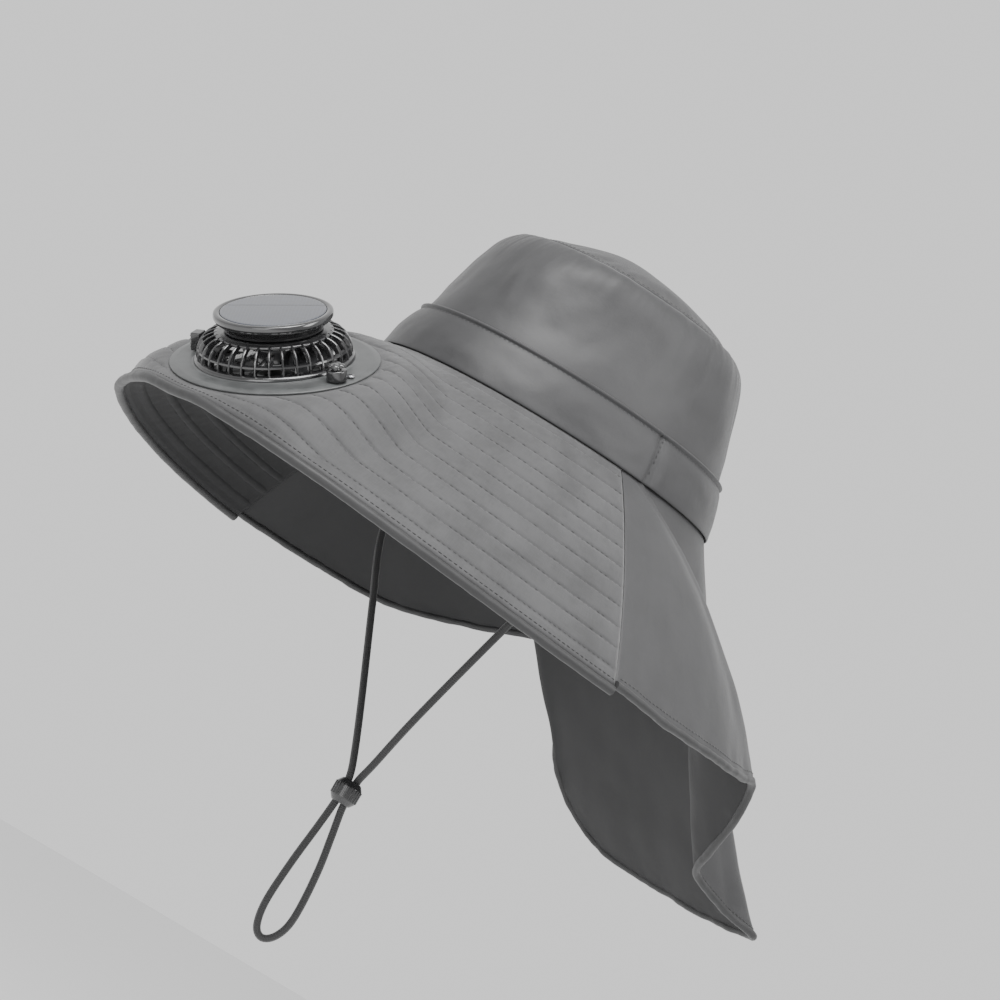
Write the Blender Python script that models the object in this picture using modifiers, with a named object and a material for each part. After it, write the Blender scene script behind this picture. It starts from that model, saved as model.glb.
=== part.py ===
"""Solar fan hat: a bucket hat with a quilted front brim, a soft neck cape and a fan on the brim.

Frame: +Z up along the head's axis, the fan in front at -Y, the origin at the centre of the head
opening, at the foot of the crown. An angle round the hat starts at the front and grows toward +X.
"""

import math
from typing import NamedTuple

import bmesh
import bpy
from mathutils import Matrix, Vector

# Driving sizes, in metres and radians.
HEAD_HALF_WIDTH = 0.084
HEAD_HALF_LENGTH = 0.100
CROWN_HEIGHT = 0.104
CROWN_LEAN = 0.0022
BAND_HEIGHT = 0.028
CLOTH = 0.0016
BAND_CLOTH = 0.0018
BRIM_CLOTH = 0.003
GAP = 0.0003

SEAM_ANGLE = math.radians(78.0)
BRIM_HALF_WIDTH = 0.173
FRONT_REACH = 0.2180
RIM_CENTRE = 0.020
FRONT_DROP = 0.081
SIDE_DROP = 0.100
BRIM_BOW = 0.004
FAR_TUCK = 0.012
FAR_SAG = 0.006
BINDING_RADIUS = 0.0024

FLAP_REACH = 0.250
FLAP_DROP = 0.162
CAPE_GAP_ANGLE = math.radians(0.5)

FAN_Y = -0.1715
FAN_TILT = math.radians(40.0)
PLATE_RADIUS = 0.0500
PLATE_HALF_WIDTH = 0.0540
PLATE_THICKNESS = 0.002
FAN_SEAT_MARGIN = 0.004
FAN_SEAT_BLEND = 0.028
RIM_FREE_SHARE = 0.94
RIM_FREE_ANGLE = math.radians(14.0)
DUCT_RADIUS = 0.0355
CAGE_RADIUS = 0.0378
CAGE_HEIGHT = 0.0145
CAGE_WALL = 0.0022
CAGE_TOP_RADIUS = 0.0275
RIB_COUNT = 34
SLOT_WIDTH = 0.0040
ROTOR_RADIUS = 0.0325
BLADE_COUNT = 7
BLADE_PITCH = math.radians(32.0)
BLADE_THICKNESS = 0.0012
HUB_RADIUS = 0.0105
MOTOR_HEIGHT = 0.0045
NECK_HEIGHT = 0.0034
BEZEL_RADIUS = 0.0293
BEZEL_HEIGHT = 0.0056
CELL_RADIUS = 0.0258
CELL_THICKNESS = 0.0010
GUARD_THICKNESS = 0.0018
GUARD_RING_WIDTH = 0.0070
GUARD_SPOKES = 6
BOSS_RADIUS = 0.0050
BOSS_HEIGHT = 0.0052
BOSS_PLACE = Vector((0.0485, 0.0035, 0.0))
BUTTON_STEM = 0.0020
BUTTON_TRAVEL = 0.0008
BUTTON_LOBES = 4
SCREW_RADIUS = 0.0021
SCREW_INSET = 0.0055
SCREW_UPHILL = 0.0115
SOCKET_SIZE = Vector((0.0052, 0.0070, 0.0090))

CORD_RADIUS = 0.0020
CORD_STEP = 0.0105
LOCK_RADIUS = 0.0075
LOCK_HEIGHT = 0.0130
LOCK_CLEARANCE = 0.0008
TAB_SIZE = Vector((0.0020, 0.0100, 0.0170))

CROWN_STEPS = 44
TURN_STEPS = 32
BRIM_COLUMNS = 32
BRIM_ROWS = 12
CAPE_ROWS = 7
CAPE_STEPS = 2


class Ring(NamedTuple):
    """One level of the crown: its size as a share of the foot's, its height of the crown's."""

    size: float
    height: float


class Fold(NamedTuple):
    """One line down the cape: where it starts at the crown's foot and where its hem is."""

    angle: float
    width: float
    reach: float
    drop: float
    bow: float


CROWN_WALL = [
    Ring(1.000, 0.000),
    Ring(0.965, 0.130),
    Ring(0.875, 0.420),
    Ring(0.812, 0.620),
    Ring(0.763, 0.740),
    Ring(0.700, 0.815),
    Ring(0.620, 0.848),
]
CROWN_TIP = [
    Ring(0.613, 0.851),
    Ring(0.450, 0.915),
    Ring(0.280, 0.962),
    Ring(0.120, 0.990),
]

# Widths are shares of the brim's half width, reaches of the flap's reach, drops and bows of its drop.
NEAR_FOLDS = [
    Fold(80.0, 0.965, 0.070, 0.622, 0.050),
    Fold(81.5, 0.905, 0.290, 0.618, 0.070),
    Fold(83.0, 0.815, 0.420, 0.612, 0.068),
    Fold(86.0, 0.738, 0.508, 0.606, 0.062),
    Fold(93.0, 0.655, 0.575, 0.720, 0.010),
    Fold(104.0, 0.535, 0.640, 0.845, 0.000),
    Fold(118.0, 0.440, 0.712, 0.920, -0.020),
    Fold(134.0, 0.432, 0.845, 0.970, -0.028),
    Fold(150.0, 0.434, 0.958, 0.990, -0.032),
    Fold(165.0, 0.230, 0.992, 1.000, -0.040),
]
BACK_FOLD = Fold(180.0, 0.000, 1.000, 1.000, -0.040)
FAR_FOLDS = [
    Fold(80.0, 0.900, 0.070, 0.650, 0.050),
    Fold(81.5, 0.870, 0.270, 0.640, 0.065),
    Fold(84.0, 0.790, 0.400, 0.605, 0.070),
    Fold(88.0, 0.690, 0.500, 0.545, 0.060),
    Fold(97.0, 0.520, 0.630, 0.460, 0.010),
    Fold(108.0, 0.516, 0.735, 0.640, -0.010),
    Fold(120.0, 0.524, 0.812, 0.785, -0.020),
    Fold(135.0, 0.505, 0.905, 0.895, -0.028),
    Fold(150.0, 0.370, 0.970, 0.972, -0.035),
    Fold(165.0, 0.180, 0.995, 0.995, -0.040),
]

LOCK_PLACE = Vector((0.0010, 0.0030, -0.2055))
# The loop and the pair of strands lie side by side along this direction.
STRAND_SPREAD = Vector((0.643, 0.766, 0.0))
STRAND_OFFSET = 0.00225

CORD_ROUTE = [
    (0.0822, 0.0000, -0.0040),
    (0.0822, 0.0000, -0.0090),
    (0.0745, 0.0002, -0.0290),
    (0.0470, 0.0009, -0.0900),
    (0.0205, 0.0022, -0.1530),
    (0.0075, 0.0040, -0.1860),
    (0.0027, 0.0046, -0.1975),
    (0.00245, 0.0047, -0.2055),
    (0.0026, 0.0049, -0.2140),
    (0.0042, 0.0068, -0.2280),
    (0.0061, 0.0091, -0.2460),
    (0.0072, 0.0104, -0.2660),
    (0.0069, 0.0100, -0.2790),
    (0.0045, 0.0072, -0.2875),
    (0.0010, 0.0030, -0.2905),
    (-0.0021, -0.0007, -0.2860),
    (-0.0035, -0.0024, -0.2730),
    (-0.0028, -0.0015, -0.2500),
    (-0.0014, 0.0002, -0.2280),
    (-0.0006, 0.0011, -0.2140),
    (-0.00045, 0.0013, -0.2055),
    (-0.0009, 0.0012, -0.1975),
    (-0.0066, 0.0009, -0.1860),
    (-0.0230, 0.0003, -0.1600),
    (-0.0545, -0.0005, -0.1130),
    (-0.0760, -0.0008, -0.0800),
    (-0.0826, -0.0005, -0.0520),
    (-0.0824, 0.0000, -0.0200),
    (-0.0822, 0.0000, -0.0040),
]

BLACK_CLOTH = (0.012, 0.012, 0.013)
BLACK_PLASTIC = (0.010, 0.010, 0.011)
PLATE_GREY = (0.030, 0.031, 0.033)
CELL_BLUE = (0.010, 0.014, 0.024)
STEEL = (0.42, 0.42, 0.43)


def clear_scene():
    for item in list(bpy.data.objects):
        bpy.data.objects.remove(item, do_unlink=True)


def new_collection(name):
    collection = bpy.data.collections.new(name)
    bpy.context.scene.collection.children.link(collection)
    return collection


def material(name, colour, roughness, metallic=0.0):
    made = bpy.data.materials.new(name)
    made.use_nodes = True
    shader = made.node_tree.nodes["Principled BSDF"]
    shader.inputs["Base Color"].default_value = (*colour, 1.0)
    shader.inputs["Roughness"].default_value = roughness
    shader.inputs["Metallic"].default_value = metallic
    return made


class Workshop:
    """Makes the named objects of the hat and the cutters that shape them."""

    def __init__(self):
        self.parts = new_collection("solar_fan_hat")
        self.cutters = new_collection("cutters")
        self.fan_frame = bpy.data.objects.new("fan_frame", None)
        self.parts.objects.link(self.fan_frame)
        self.fan_frame.matrix_world = fan_matrix()

    def part(self, name, mesh, finish, parent=None):
        item = bpy.data.objects.new(name, mesh)
        item.parent = parent
        mesh.materials.append(material(name, *finish))
        self.parts.objects.link(item)
        return item

    def cutter(self, name, mesh, parent=None):
        item = bpy.data.objects.new(name, mesh)
        item.parent = parent
        item.display_type = "WIRE"
        item.hide_render = True
        self.cutters.objects.link(item)
        return item


def mesh_from(name, form):
    mesh = bpy.data.meshes.new(name)
    form.to_mesh(mesh)
    form.free()
    mesh.update()
    return mesh


def boolean(target, other, operation):
    step = target.modifiers.new(other.name, "BOOLEAN")
    step.operation = operation
    step.solver = "EXACT"
    step.object = other


def solidify(item, thickness):
    step = item.modifiers.new("wall", "SOLIDIFY")
    step.thickness = thickness
    step.offset = -1.0
    step.use_even_offset = False


def grid_mesh(name, rows, closed, apex=None):
    """A sheet through rows of points, lowest row first, its outer side facing out."""
    form = bmesh.new()
    verts = [[form.verts.new(point) for point in row] for row in rows]
    count = len(rows[0])
    last = count if closed else count - 1
    for low, high in zip(verts, verts[1:]):
        for i in range(last):
            j = (i + 1) % count
            form.faces.new((low[i], low[j], high[j], high[i]))
    if apex is not None:
        top = form.verts.new(apex)
        for i in range(last):
            form.faces.new((verts[-1][i], verts[-1][(i + 1) % count], top))
    mesh = mesh_from(name, form)
    mesh.shade_smooth()
    return mesh


def smooth_step(share):
    share = min(max(share, 0.0), 1.0)
    return share * share * (3.0 - 2.0 * share)


def spline(before, start, end, after, share):
    """A point of the Catmull-Rom curve between start and end; takes floats or vectors."""
    bend = 2.0 * before - 5.0 * start + 4.0 * end - after
    twist = 3.0 * (start - end) + after - before
    return 0.5 * (2.0 * start + (end - before) * share + bend * share**2 + twist * share**3)


# The crown and its band.


def crown_radii(height, offset):
    """Half width and half length of the crown's outer face at a height, grown by offset."""
    level = height / CROWN_HEIGHT
    low, high = CROWN_WALL[0], CROWN_WALL[1]
    for low, high in zip(CROWN_WALL, CROWN_WALL[1:]):
        if level <= high.height:
            break
    share = (level - low.height) / (high.height - low.height)
    size = low.size + (high.size - low.size) * share
    return (
        (HEAD_HALF_WIDTH + CLOTH) * size + offset,
        (HEAD_HALF_LENGTH + CLOTH) * size + offset,
    )


def oval(half_width, half_length, height, steps=CROWN_STEPS):
    """A level ring round the crown, moved back as the crown leans."""
    back = CROWN_LEAN * height / CROWN_HEIGHT
    turns = (2.0 * math.pi * i / steps for i in range(steps))
    return [Vector((half_width * math.sin(a), back - half_length * math.cos(a), height)) for a in turns]


def crown_rows(rings):
    wide = HEAD_HALF_WIDTH + CLOTH
    long = HEAD_HALF_LENGTH + CLOTH
    return [oval(wide * r.size, long * r.size, CROWN_HEIGHT * r.height) for r in rings]


def crown_wall(shop):
    mesh = grid_mesh("crown_wall", crown_rows(CROWN_WALL), closed=True)
    item = shop.part("crown_wall", mesh, (BLACK_CLOTH, 0.62))
    solidify(item, CLOTH)


def crown_tip(shop):
    apex = Vector((0.0, CROWN_LEAN, CROWN_HEIGHT))
    mesh = grid_mesh("crown_tip", crown_rows(CROWN_TIP), closed=True, apex=apex)
    item = shop.part("crown_tip", mesh, (BLACK_CLOTH, 0.62))
    solidify(item, CLOTH)


def hat_band(shop):
    bend = CROWN_WALL[1].height * CROWN_HEIGHT
    heights = [0.0, min(bend, BAND_HEIGHT * 0.6), BAND_HEIGHT]
    rows = [oval(*crown_radii(h, GAP + BAND_CLOTH), h) for h in heights]
    item = shop.part("hat_band", grid_mesh("hat_band", rows, closed=True), (BLACK_CLOTH, 0.58))
    solidify(item, BAND_CLOTH)


# The brim and the cape start together under the band.


def foot_point(angle):
    """The brim's and the cape's first line, under the middle of the band's cloth."""
    grow = CLOTH + GAP + 0.5 * BAND_CLOTH
    half_width = HEAD_HALF_WIDTH + grow
    half_length = HEAD_HALF_LENGTH + grow
    return Vector((half_width * math.sin(angle), -half_length * math.cos(angle), -GAP))


def rim_point(angle):
    """The brim's edge, a little narrower and lower on the far side."""
    aside = math.sin(angle)
    ahead = math.cos(angle)
    far = aside * aside if aside < 0.0 else 0.0
    half_width = BRIM_HALF_WIDTH - FAR_TUCK * far
    drop = SIDE_DROP + (FRONT_DROP - SIDE_DROP) * ahead * ahead + FAR_SAG * far
    return Vector((half_width * aside, RIM_CENTRE - (FRONT_REACH + RIM_CENTRE) * ahead, -drop))


def bowed(start, end, bow, share):
    """A point on the way down from start to end, bowed outward by bow at half way."""
    outward = Vector((end.x - start.x, end.y - start.y, 0.0)).normalized()
    lift = (outward * 0.6 + Vector((0.0, 0.0, 0.8))) * bow
    return start.lerp(end, share) + lift * 4.0 * share * (1.0 - share)


def fan_matrix():
    """The fan's own frame: +Z out of the brim, +Y up its slope, the origin on its upper face."""
    start = foot_point(0.0)
    end = rim_point(0.0)
    share = (FAN_Y - start.y) / (end.y - start.y)
    place = bowed(start, end, BRIM_BOW, share)
    return Matrix.Translation(place) @ Matrix.Rotation(FAN_TILT, 4, "X")


def seated(point, hold):
    """The point, brought into the fan plate's plane where the plate clamps the brim."""
    frame = fan_matrix()
    local = frame.inverted() @ point
    oval_share = PLATE_RADIUS / PLATE_HALF_WIDTH
    away = math.hypot(local.x * oval_share, local.y) - PLATE_RADIUS - FAN_SEAT_MARGIN
    local.z *= 1.0 - hold * (1.0 - smooth_step(away / FAN_SEAT_BLEND))
    return frame @ local


def brim_point(angle, share):
    """A point of the brim's upper face, whose rim keeps its own line beside the fan."""
    near_rim = smooth_step((share - RIM_FREE_SHARE) / (1.0 - RIM_FREE_SHARE))
    hold = 1.0 - near_rim * smooth_step(abs(angle) / RIM_FREE_ANGLE)
    return seated(bowed(foot_point(angle), rim_point(angle), BRIM_BOW, share), hold)


def brim_angles():
    return [SEAM_ANGLE * (2.0 * i / BRIM_COLUMNS - 1.0) for i in range(BRIM_COLUMNS + 1)]


def brim(shop):
    shares = [1.0 - i / BRIM_ROWS for i in range(BRIM_ROWS + 1)]
    rows = [[brim_point(angle, share) for angle in brim_angles()] for share in shares]
    item = shop.part("brim", grid_mesh("brim", rows, closed=False), (BLACK_CLOTH, 0.75))
    solidify(item, BRIM_CLOTH)
    reach = 4.0 * BRIM_CLOTH
    duct = turned_mesh("duct_cutter", [(0.0, reach), (DUCT_RADIUS, reach), (DUCT_RADIUS, -reach), (0.0, -reach)])
    boolean(item, shop.cutter("duct_cutter", duct, shop.fan_frame), "DIFFERENCE")


def brim_binding(shop):
    """The rolled edge, beside the middle of the brim's cut edge."""
    centre = []
    for angle in brim_angles():
        edge = brim_point(angle, 1.0)
        along = (edge - brim_point(angle, 0.93)).normalized()
        aside = brim_point(angle + 0.01, 1.0) - brim_point(angle - 0.01, 1.0)
        inward = along.cross(aside).normalized()
        if inward.z > 0.0:
            inward = -inward
        centre.append(edge + along * (GAP + BINDING_RADIUS) + inward * 0.5 * BRIM_CLOTH)
    tube(shop, "brim_binding", centre, BINDING_RADIUS, (BLACK_CLOTH, 0.7))


def hem_point(fold, side):
    return Vector((side * fold.width * BRIM_HALF_WIDTH, fold.reach * FLAP_REACH, -fold.drop * FLAP_DROP))


def seam_fold(side):
    """The cape's first line, along the brim's side seam, as a row of the fold table."""
    rim = brim_point(side * SEAM_ANGLE, 1.0)
    degrees = math.degrees(SEAM_ANGLE + CAPE_GAP_ANGLE)
    gap = 2.0 * GAP
    return Fold(
        degrees,
        abs(rim.x) / BRIM_HALF_WIDTH,
        (rim.y + gap) / FLAP_REACH,
        -rim.z / FLAP_DROP,
        BRIM_BOW / FLAP_DROP,
    )


def cape_lines():
    """Start, hem and bow of each line down the cape, from the near seam round to the far one."""
    near = [seam_fold(1.0)] + NEAR_FOLDS
    far = [seam_fold(-1.0)] + FAR_FOLDS
    knots = []
    for side, fold in [(1.0, f) for f in near] + [(1.0, BACK_FOLD)] + [(-1.0, f) for f in reversed(far)]:
        turn = math.radians(fold.angle) if side > 0.0 else 2.0 * math.pi - math.radians(fold.angle)
        knots.append((turn, hem_point(fold, side), fold.bow * FLAP_DROP))
    lines = []
    padded = [knots[0]] + knots + [knots[-1]]
    for four in zip(padded, padded[1:], padded[2:], padded[3:]):
        for i in range(CAPE_STEPS):
            lines.append(tuple(spline(*(knot[k] for knot in four), i / CAPE_STEPS) for k in range(3)))
    lines.append(knots[-1])
    return lines


def neck_cape(shop):
    shares = [1.0 - i / CAPE_ROWS for i in range(CAPE_ROWS + 1)]
    lines = cape_lines()
    rows = [[bowed(foot_point(turn), hem, bow, share) for turn, hem, bow in lines] for share in shares]
    item = shop.part("neck_cape", grid_mesh("neck_cape", rows, closed=False), (BLACK_CLOTH, 0.66))
    solidify(item, CLOTH)


# Turned pieces, tubes and small blocks.


def turned_mesh(name, profile, steps=TURN_STEPS, ring=False):
    """A turned solid: the profile's (radius, height) points run down its outer side."""
    form = bmesh.new()
    verts = [form.verts.new((radius, 0.0, height)) for radius, height in profile]
    pairs = list(zip(verts, verts[1:]))
    if ring:
        pairs.append((verts[-1], verts[0]))
    for pair in pairs:
        form.edges.new(pair)
    guide = bpy.data.objects.new(name + "_profile", mesh_from(name + "_profile", form))
    bpy.context.scene.collection.objects.link(guide)
    step = guide.modifiers.new("turn", "SCREW")
    step.axis = "Z"
    step.steps = steps
    step.render_steps = steps
    step.use_merge_vertices = True
    step.merge_threshold = 0.00001
    bpy.context.view_layer.update()
    mesh = bpy.data.meshes.new_from_object(guide.evaluated_get(bpy.context.evaluated_depsgraph_get()))
    mesh.name = name
    bpy.data.objects.remove(guide, do_unlink=True)
    mesh.set_sharp_from_angle(angle=math.radians(40.0))
    return mesh


def box_form(form, size, place, turn=None):
    matrix = Matrix.Translation(place) @ (turn or Matrix.Identity(4)) @ Matrix.Diagonal((*size, 1.0))
    bmesh.ops.create_cube(form, size=1.0, matrix=matrix)


def tube(shop, name, points, radius, finish):
    """A round tube through the points, closed at both ends."""
    curve = bpy.data.curves.new(name, "CURVE")
    curve.dimensions = "3D"
    curve.bevel_depth = radius
    curve.bevel_resolution = 2
    curve.use_fill_caps = True
    line = curve.splines.new("POLY")
    line.points.add(len(points) - 1)
    for knot, point in zip(line.points, points):
        knot.co = (*point, 1.0)
    item = bpy.data.objects.new(name, curve)
    curve.materials.append(material(name, *finish))
    shop.parts.objects.link(item)
    return item


# The fan, in its own frame: heights are above the brim's upper face.


def plate_top():
    return GAP + PLATE_THICKNESS


def cage_foot():
    return plate_top() + GAP


def cage_top():
    return cage_foot() + CAGE_HEIGHT


def cage_ceiling():
    return cage_top() - CAGE_WALL


def neck_foot():
    return cage_top() + GAP


def bezel_foot():
    return neck_foot() + NECK_HEIGHT + GAP


def fan_plate(shop):
    edge = 0.4 * PLATE_THICKNESS
    profile = [
        (DUCT_RADIUS, plate_top()),
        (PLATE_RADIUS - 2.0 * edge, plate_top()),
        (PLATE_RADIUS, plate_top() - edge),
        (PLATE_RADIUS, GAP),
        (DUCT_RADIUS, GAP),
    ]
    mesh = turned_mesh("fan_plate", profile, ring=True)
    for vert in mesh.vertices:
        if math.hypot(vert.co.x, vert.co.y) > 0.5 * (DUCT_RADIUS + PLATE_RADIUS):
            vert.co.x *= PLATE_HALF_WIDTH / PLATE_RADIUS
    shop.part("fan_plate", mesh, (PLATE_GREY, 0.45), shop.fan_frame)


def fan_cage(shop):
    """A domed shell over the rotor, cut through between its ribs."""
    low, high = cage_foot(), cage_top()
    shoulder = low + 0.70 * CAGE_HEIGHT
    inner_top = cage_ceiling()
    profile = [
        (0.0, high),
        (CAGE_TOP_RADIUS, high),
        (0.5 * (CAGE_TOP_RADIUS + CAGE_RADIUS), shoulder),
        (CAGE_RADIUS, low + 0.35 * CAGE_HEIGHT),
        (CAGE_RADIUS, low),
        (CAGE_RADIUS - CAGE_WALL, low),
        (CAGE_RADIUS - CAGE_WALL, low + 0.30 * CAGE_HEIGHT),
        (0.5 * (CAGE_TOP_RADIUS + CAGE_RADIUS) - CAGE_WALL, shoulder - 0.5 * CAGE_WALL),
        (CAGE_TOP_RADIUS - CAGE_WALL, inner_top),
        (0.0, inner_top),
    ]
    mesh = turned_mesh("fan_cage", profile, steps=RIB_COUNT)
    item = shop.part("fan_cage", mesh, (BLACK_PLASTIC, 0.25), shop.fan_frame)
    slots = bmesh.new()
    slot_low = low + 0.12 * CAGE_HEIGHT
    slot_high = low + 0.74 * CAGE_HEIGHT
    length = 2.0 * CAGE_WALL + CAGE_RADIUS - CAGE_TOP_RADIUS
    middle = CAGE_RADIUS - 0.5 * length + CAGE_WALL
    for i in range(RIB_COUNT):
        turn = Matrix.Rotation(2.0 * math.pi * (i + 0.5) / RIB_COUNT, 4, "Z")
        size = (length, SLOT_WIDTH, slot_high - slot_low)
        box_form(slots, size, turn @ Vector((middle, 0.0, 0.5 * (slot_low + slot_high))), turn)
    cutter = shop.cutter("slot_cutter", mesh_from("slot_cutter", slots), shop.fan_frame)
    boolean(item, cutter, "DIFFERENCE")


def motor(shop):
    """The motor under the middle of the cage's top."""
    top = cage_ceiling() - GAP
    profile = [
        (0.0, top),
        (HUB_RADIUS, top),
        (HUB_RADIUS, top - MOTOR_HEIGHT),
        (0.0, top - MOTOR_HEIGHT),
    ]
    mesh = turned_mesh("motor", profile, steps=24)
    shop.part("motor", mesh, (STEEL, 0.4, 0.9), shop.fan_frame)


def rotor_span():
    top = cage_ceiling() - 2.0 * GAP - MOTOR_HEIGHT
    return GAP, top


def fan_rotor(shop):
    """The impeller: a hub on the motor's shaft and its pitched blades."""
    low, top = rotor_span()
    mesh = turned_mesh("fan_rotor", [(0.0, top), (HUB_RADIUS, top), (HUB_RADIUS, low), (0.0, low)], steps=24)
    item = shop.part("fan_rotor", mesh, (BLACK_PLASTIC, 0.35), shop.fan_frame)
    blades = bmesh.new()
    root = HUB_RADIUS * 0.7
    length = ROTOR_RADIUS - root
    chord = 0.75 * (top - low) / math.sin(BLADE_PITCH)
    for i in range(BLADE_COUNT):
        turn = Matrix.Rotation(2.0 * math.pi * i / BLADE_COUNT, 4, "Z")
        pitched = turn @ Matrix.Rotation(BLADE_PITCH, 4, "X")
        place = turn @ Vector((root + 0.5 * length, 0.0, 0.5 * (low + top)))
        box_form(blades, (length, chord, BLADE_THICKNESS), place, pitched)
    cutter = shop.cutter("blade_form", mesh_from("blade_form", blades), shop.fan_frame)
    boolean(item, cutter, "UNION")


def inner_guard(shop):
    """The clamp ring under the brim, with spokes across the duct."""
    top = -BRIM_CLOTH - GAP
    low = top - GUARD_THICKNESS
    outer = DUCT_RADIUS + GUARD_RING_WIDTH
    ring = [(DUCT_RADIUS, top), (outer, top), (outer, low), (DUCT_RADIUS, low)]
    mesh = turned_mesh("inner_guard", ring, ring=True)
    item = shop.part("inner_guard", mesh, (BLACK_PLASTIC, 0.4), shop.fan_frame)
    spokes = bmesh.new()
    reach = DUCT_RADIUS + GUARD_THICKNESS
    for i in range(GUARD_SPOKES):
        turn = Matrix.Rotation(2.0 * math.pi * i / GUARD_SPOKES, 4, "Z")
        size = (reach - 0.5 * HUB_RADIUS, GUARD_THICKNESS, 0.8 * GUARD_THICKNESS)
        place = turn @ Vector((0.5 * (reach + 0.5 * HUB_RADIUS), 0.0, 0.5 * (low + top)))
        box_form(spokes, size, place, turn)
    boolean(item, shop.cutter("spoke_form", mesh_from("spoke_form", spokes), shop.fan_frame), "UNION")
    disc = [(0.0, top), (HUB_RADIUS, top), (HUB_RADIUS, low), (0.0, low)]
    hub = turned_mesh("guard_hub_form", disc, steps=24)
    boolean(item, shop.cutter("guard_hub_form", hub, shop.fan_frame), "UNION")
    middle = 0.5 * (DUCT_RADIUS + HUB_RADIUS)
    half = 0.5 * GUARD_THICKNESS
    hoop = [(middle - half, top), (middle + half, top), (middle + half, low), (middle - half, low)]
    mesh = turned_mesh("guard_hoop_form", hoop, ring=True)
    boolean(item, shop.cutter("guard_hoop_form", mesh, shop.fan_frame), "UNION")


def panel_neck(shop):
    low = neck_foot()
    high = low + NECK_HEIGHT
    wide = BEZEL_RADIUS * 0.93
    narrow = CAGE_TOP_RADIUS * 0.88
    mesh = turned_mesh("panel_neck", [(0.0, high), (wide, high), (narrow, low), (0.0, low)])
    shop.part("panel_neck", mesh, (BLACK_PLASTIC, 0.3), shop.fan_frame)


def panel_bezel(shop):
    """A shallow dish that holds the solar cell flush with its rim."""
    low = bezel_foot()
    high = low + BEZEL_HEIGHT
    floor = high - CELL_THICKNESS - GAP
    bevel = 0.15 * BEZEL_HEIGHT
    profile = [
        (0.0, floor),
        (CELL_RADIUS + GAP, floor),
        (CELL_RADIUS + GAP, high),
        (BEZEL_RADIUS - bevel, high),
        (BEZEL_RADIUS, high - bevel),
        (BEZEL_RADIUS, low + 0.4 * BEZEL_HEIGHT),
        (BEZEL_RADIUS * 0.93, low),
        (0.0, low),
    ]
    shop.part("panel_bezel", turned_mesh("panel_bezel", profile), (BLACK_PLASTIC, 0.2), shop.fan_frame)


def solar_cell(shop):
    high = bezel_foot() + BEZEL_HEIGHT
    low = high - CELL_THICKNESS
    mesh = turned_mesh("solar_cell", [(0.0, high), (CELL_RADIUS, high), (CELL_RADIUS, low), (0.0, low)])
    shop.part("solar_cell", mesh, (CELL_BLUE, 0.12), shop.fan_frame)


def boss_top():
    return cage_foot() + BOSS_HEIGHT


def button_boss(shop):
    """The boss on the near side of the plate, bored for the button's stem."""
    bore = BUTTON_STEM + GAP
    floor = cage_foot() + 0.2 * BOSS_HEIGHT
    profile = [
        (0.0, floor),
        (bore, floor),
        (bore, boss_top()),
        (BOSS_RADIUS, boss_top()),
        (BOSS_RADIUS, cage_foot()),
        (0.0, cage_foot()),
    ]
    item = shop.part("button_boss", turned_mesh("button_boss", profile, steps=24), (BLACK_PLASTIC, 0.35))
    item.parent = shop.fan_frame
    item.location = BOSS_PLACE


def power_button(shop):
    """A clover of round lobes on a stem that slides in the boss."""
    under = boss_top() + BUTTON_TRAVEL + GAP
    top = under + 0.35 * BOSS_HEIGHT
    foot = cage_foot() + 0.2 * BOSS_HEIGHT + BUTTON_TRAVEL + GAP
    stem = [(0.0, top), (BUTTON_STEM, top), (BUTTON_STEM, foot), (0.0, foot)]
    item = shop.part("power_button", turned_mesh("power_button", stem, steps=16), (BLACK_PLASTIC, 0.3))
    item.parent = shop.fan_frame
    item.location = BOSS_PLACE
    spread = 0.42 * BOSS_RADIUS
    for i in range(BUTTON_LOBES):
        turn = 2.0 * math.pi * (i + 0.5) / BUTTON_LOBES
        lobe = turned_mesh("lobe_form", [(0.0, top), (spread, top), (spread, under), (0.0, under)], steps=16)
        form = shop.cutter(f"lobe_form_{i + 1}", lobe, shop.fan_frame)
        form.location = BOSS_PLACE + Vector((spread * math.cos(turn), spread * math.sin(turn), 0.0))
        boolean(item, form, "UNION")


def plate_screws(shop):
    """Two screw heads on the plate, one at each side."""
    low = cage_foot()
    high = low + 0.45 * SCREW_RADIUS
    aside = PLATE_HALF_WIDTH - SCREW_INSET
    profile = [
        (0.0, high),
        (0.7 * SCREW_RADIUS, high),
        (SCREW_RADIUS, high - 0.4 * (high - low)),
        (SCREW_RADIUS, low),
        (0.0, low),
    ]
    for name, side in (("plate_screw_left", 1.0), ("plate_screw_right", -1.0)):
        mesh = turned_mesh(name, profile, steps=20)
        item = shop.part(name, mesh, (STEEL, 0.35, 0.8), shop.fan_frame)
        item.location = (side * aside, SCREW_UPHILL, 0.0)


def socket_block(shop):
    """The small upright block at the far side of the cage."""
    turn = Matrix.Rotation(math.radians(212.0), 4, "Z")
    place = turn @ Vector((CAGE_RADIUS + 2.0 * GAP + 0.5 * SOCKET_SIZE.x, 0.0, 0.0))
    place.z = cage_foot() + 0.5 * SOCKET_SIZE.z
    form = bmesh.new()
    box_form(form, SOCKET_SIZE, place, turn)
    mesh = mesh_from("socket_block", form)
    shop.part("socket_block", mesh, (BLACK_PLASTIC, 0.35), shop.fan_frame)


# The chin cord, its tabs and its lock.


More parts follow.
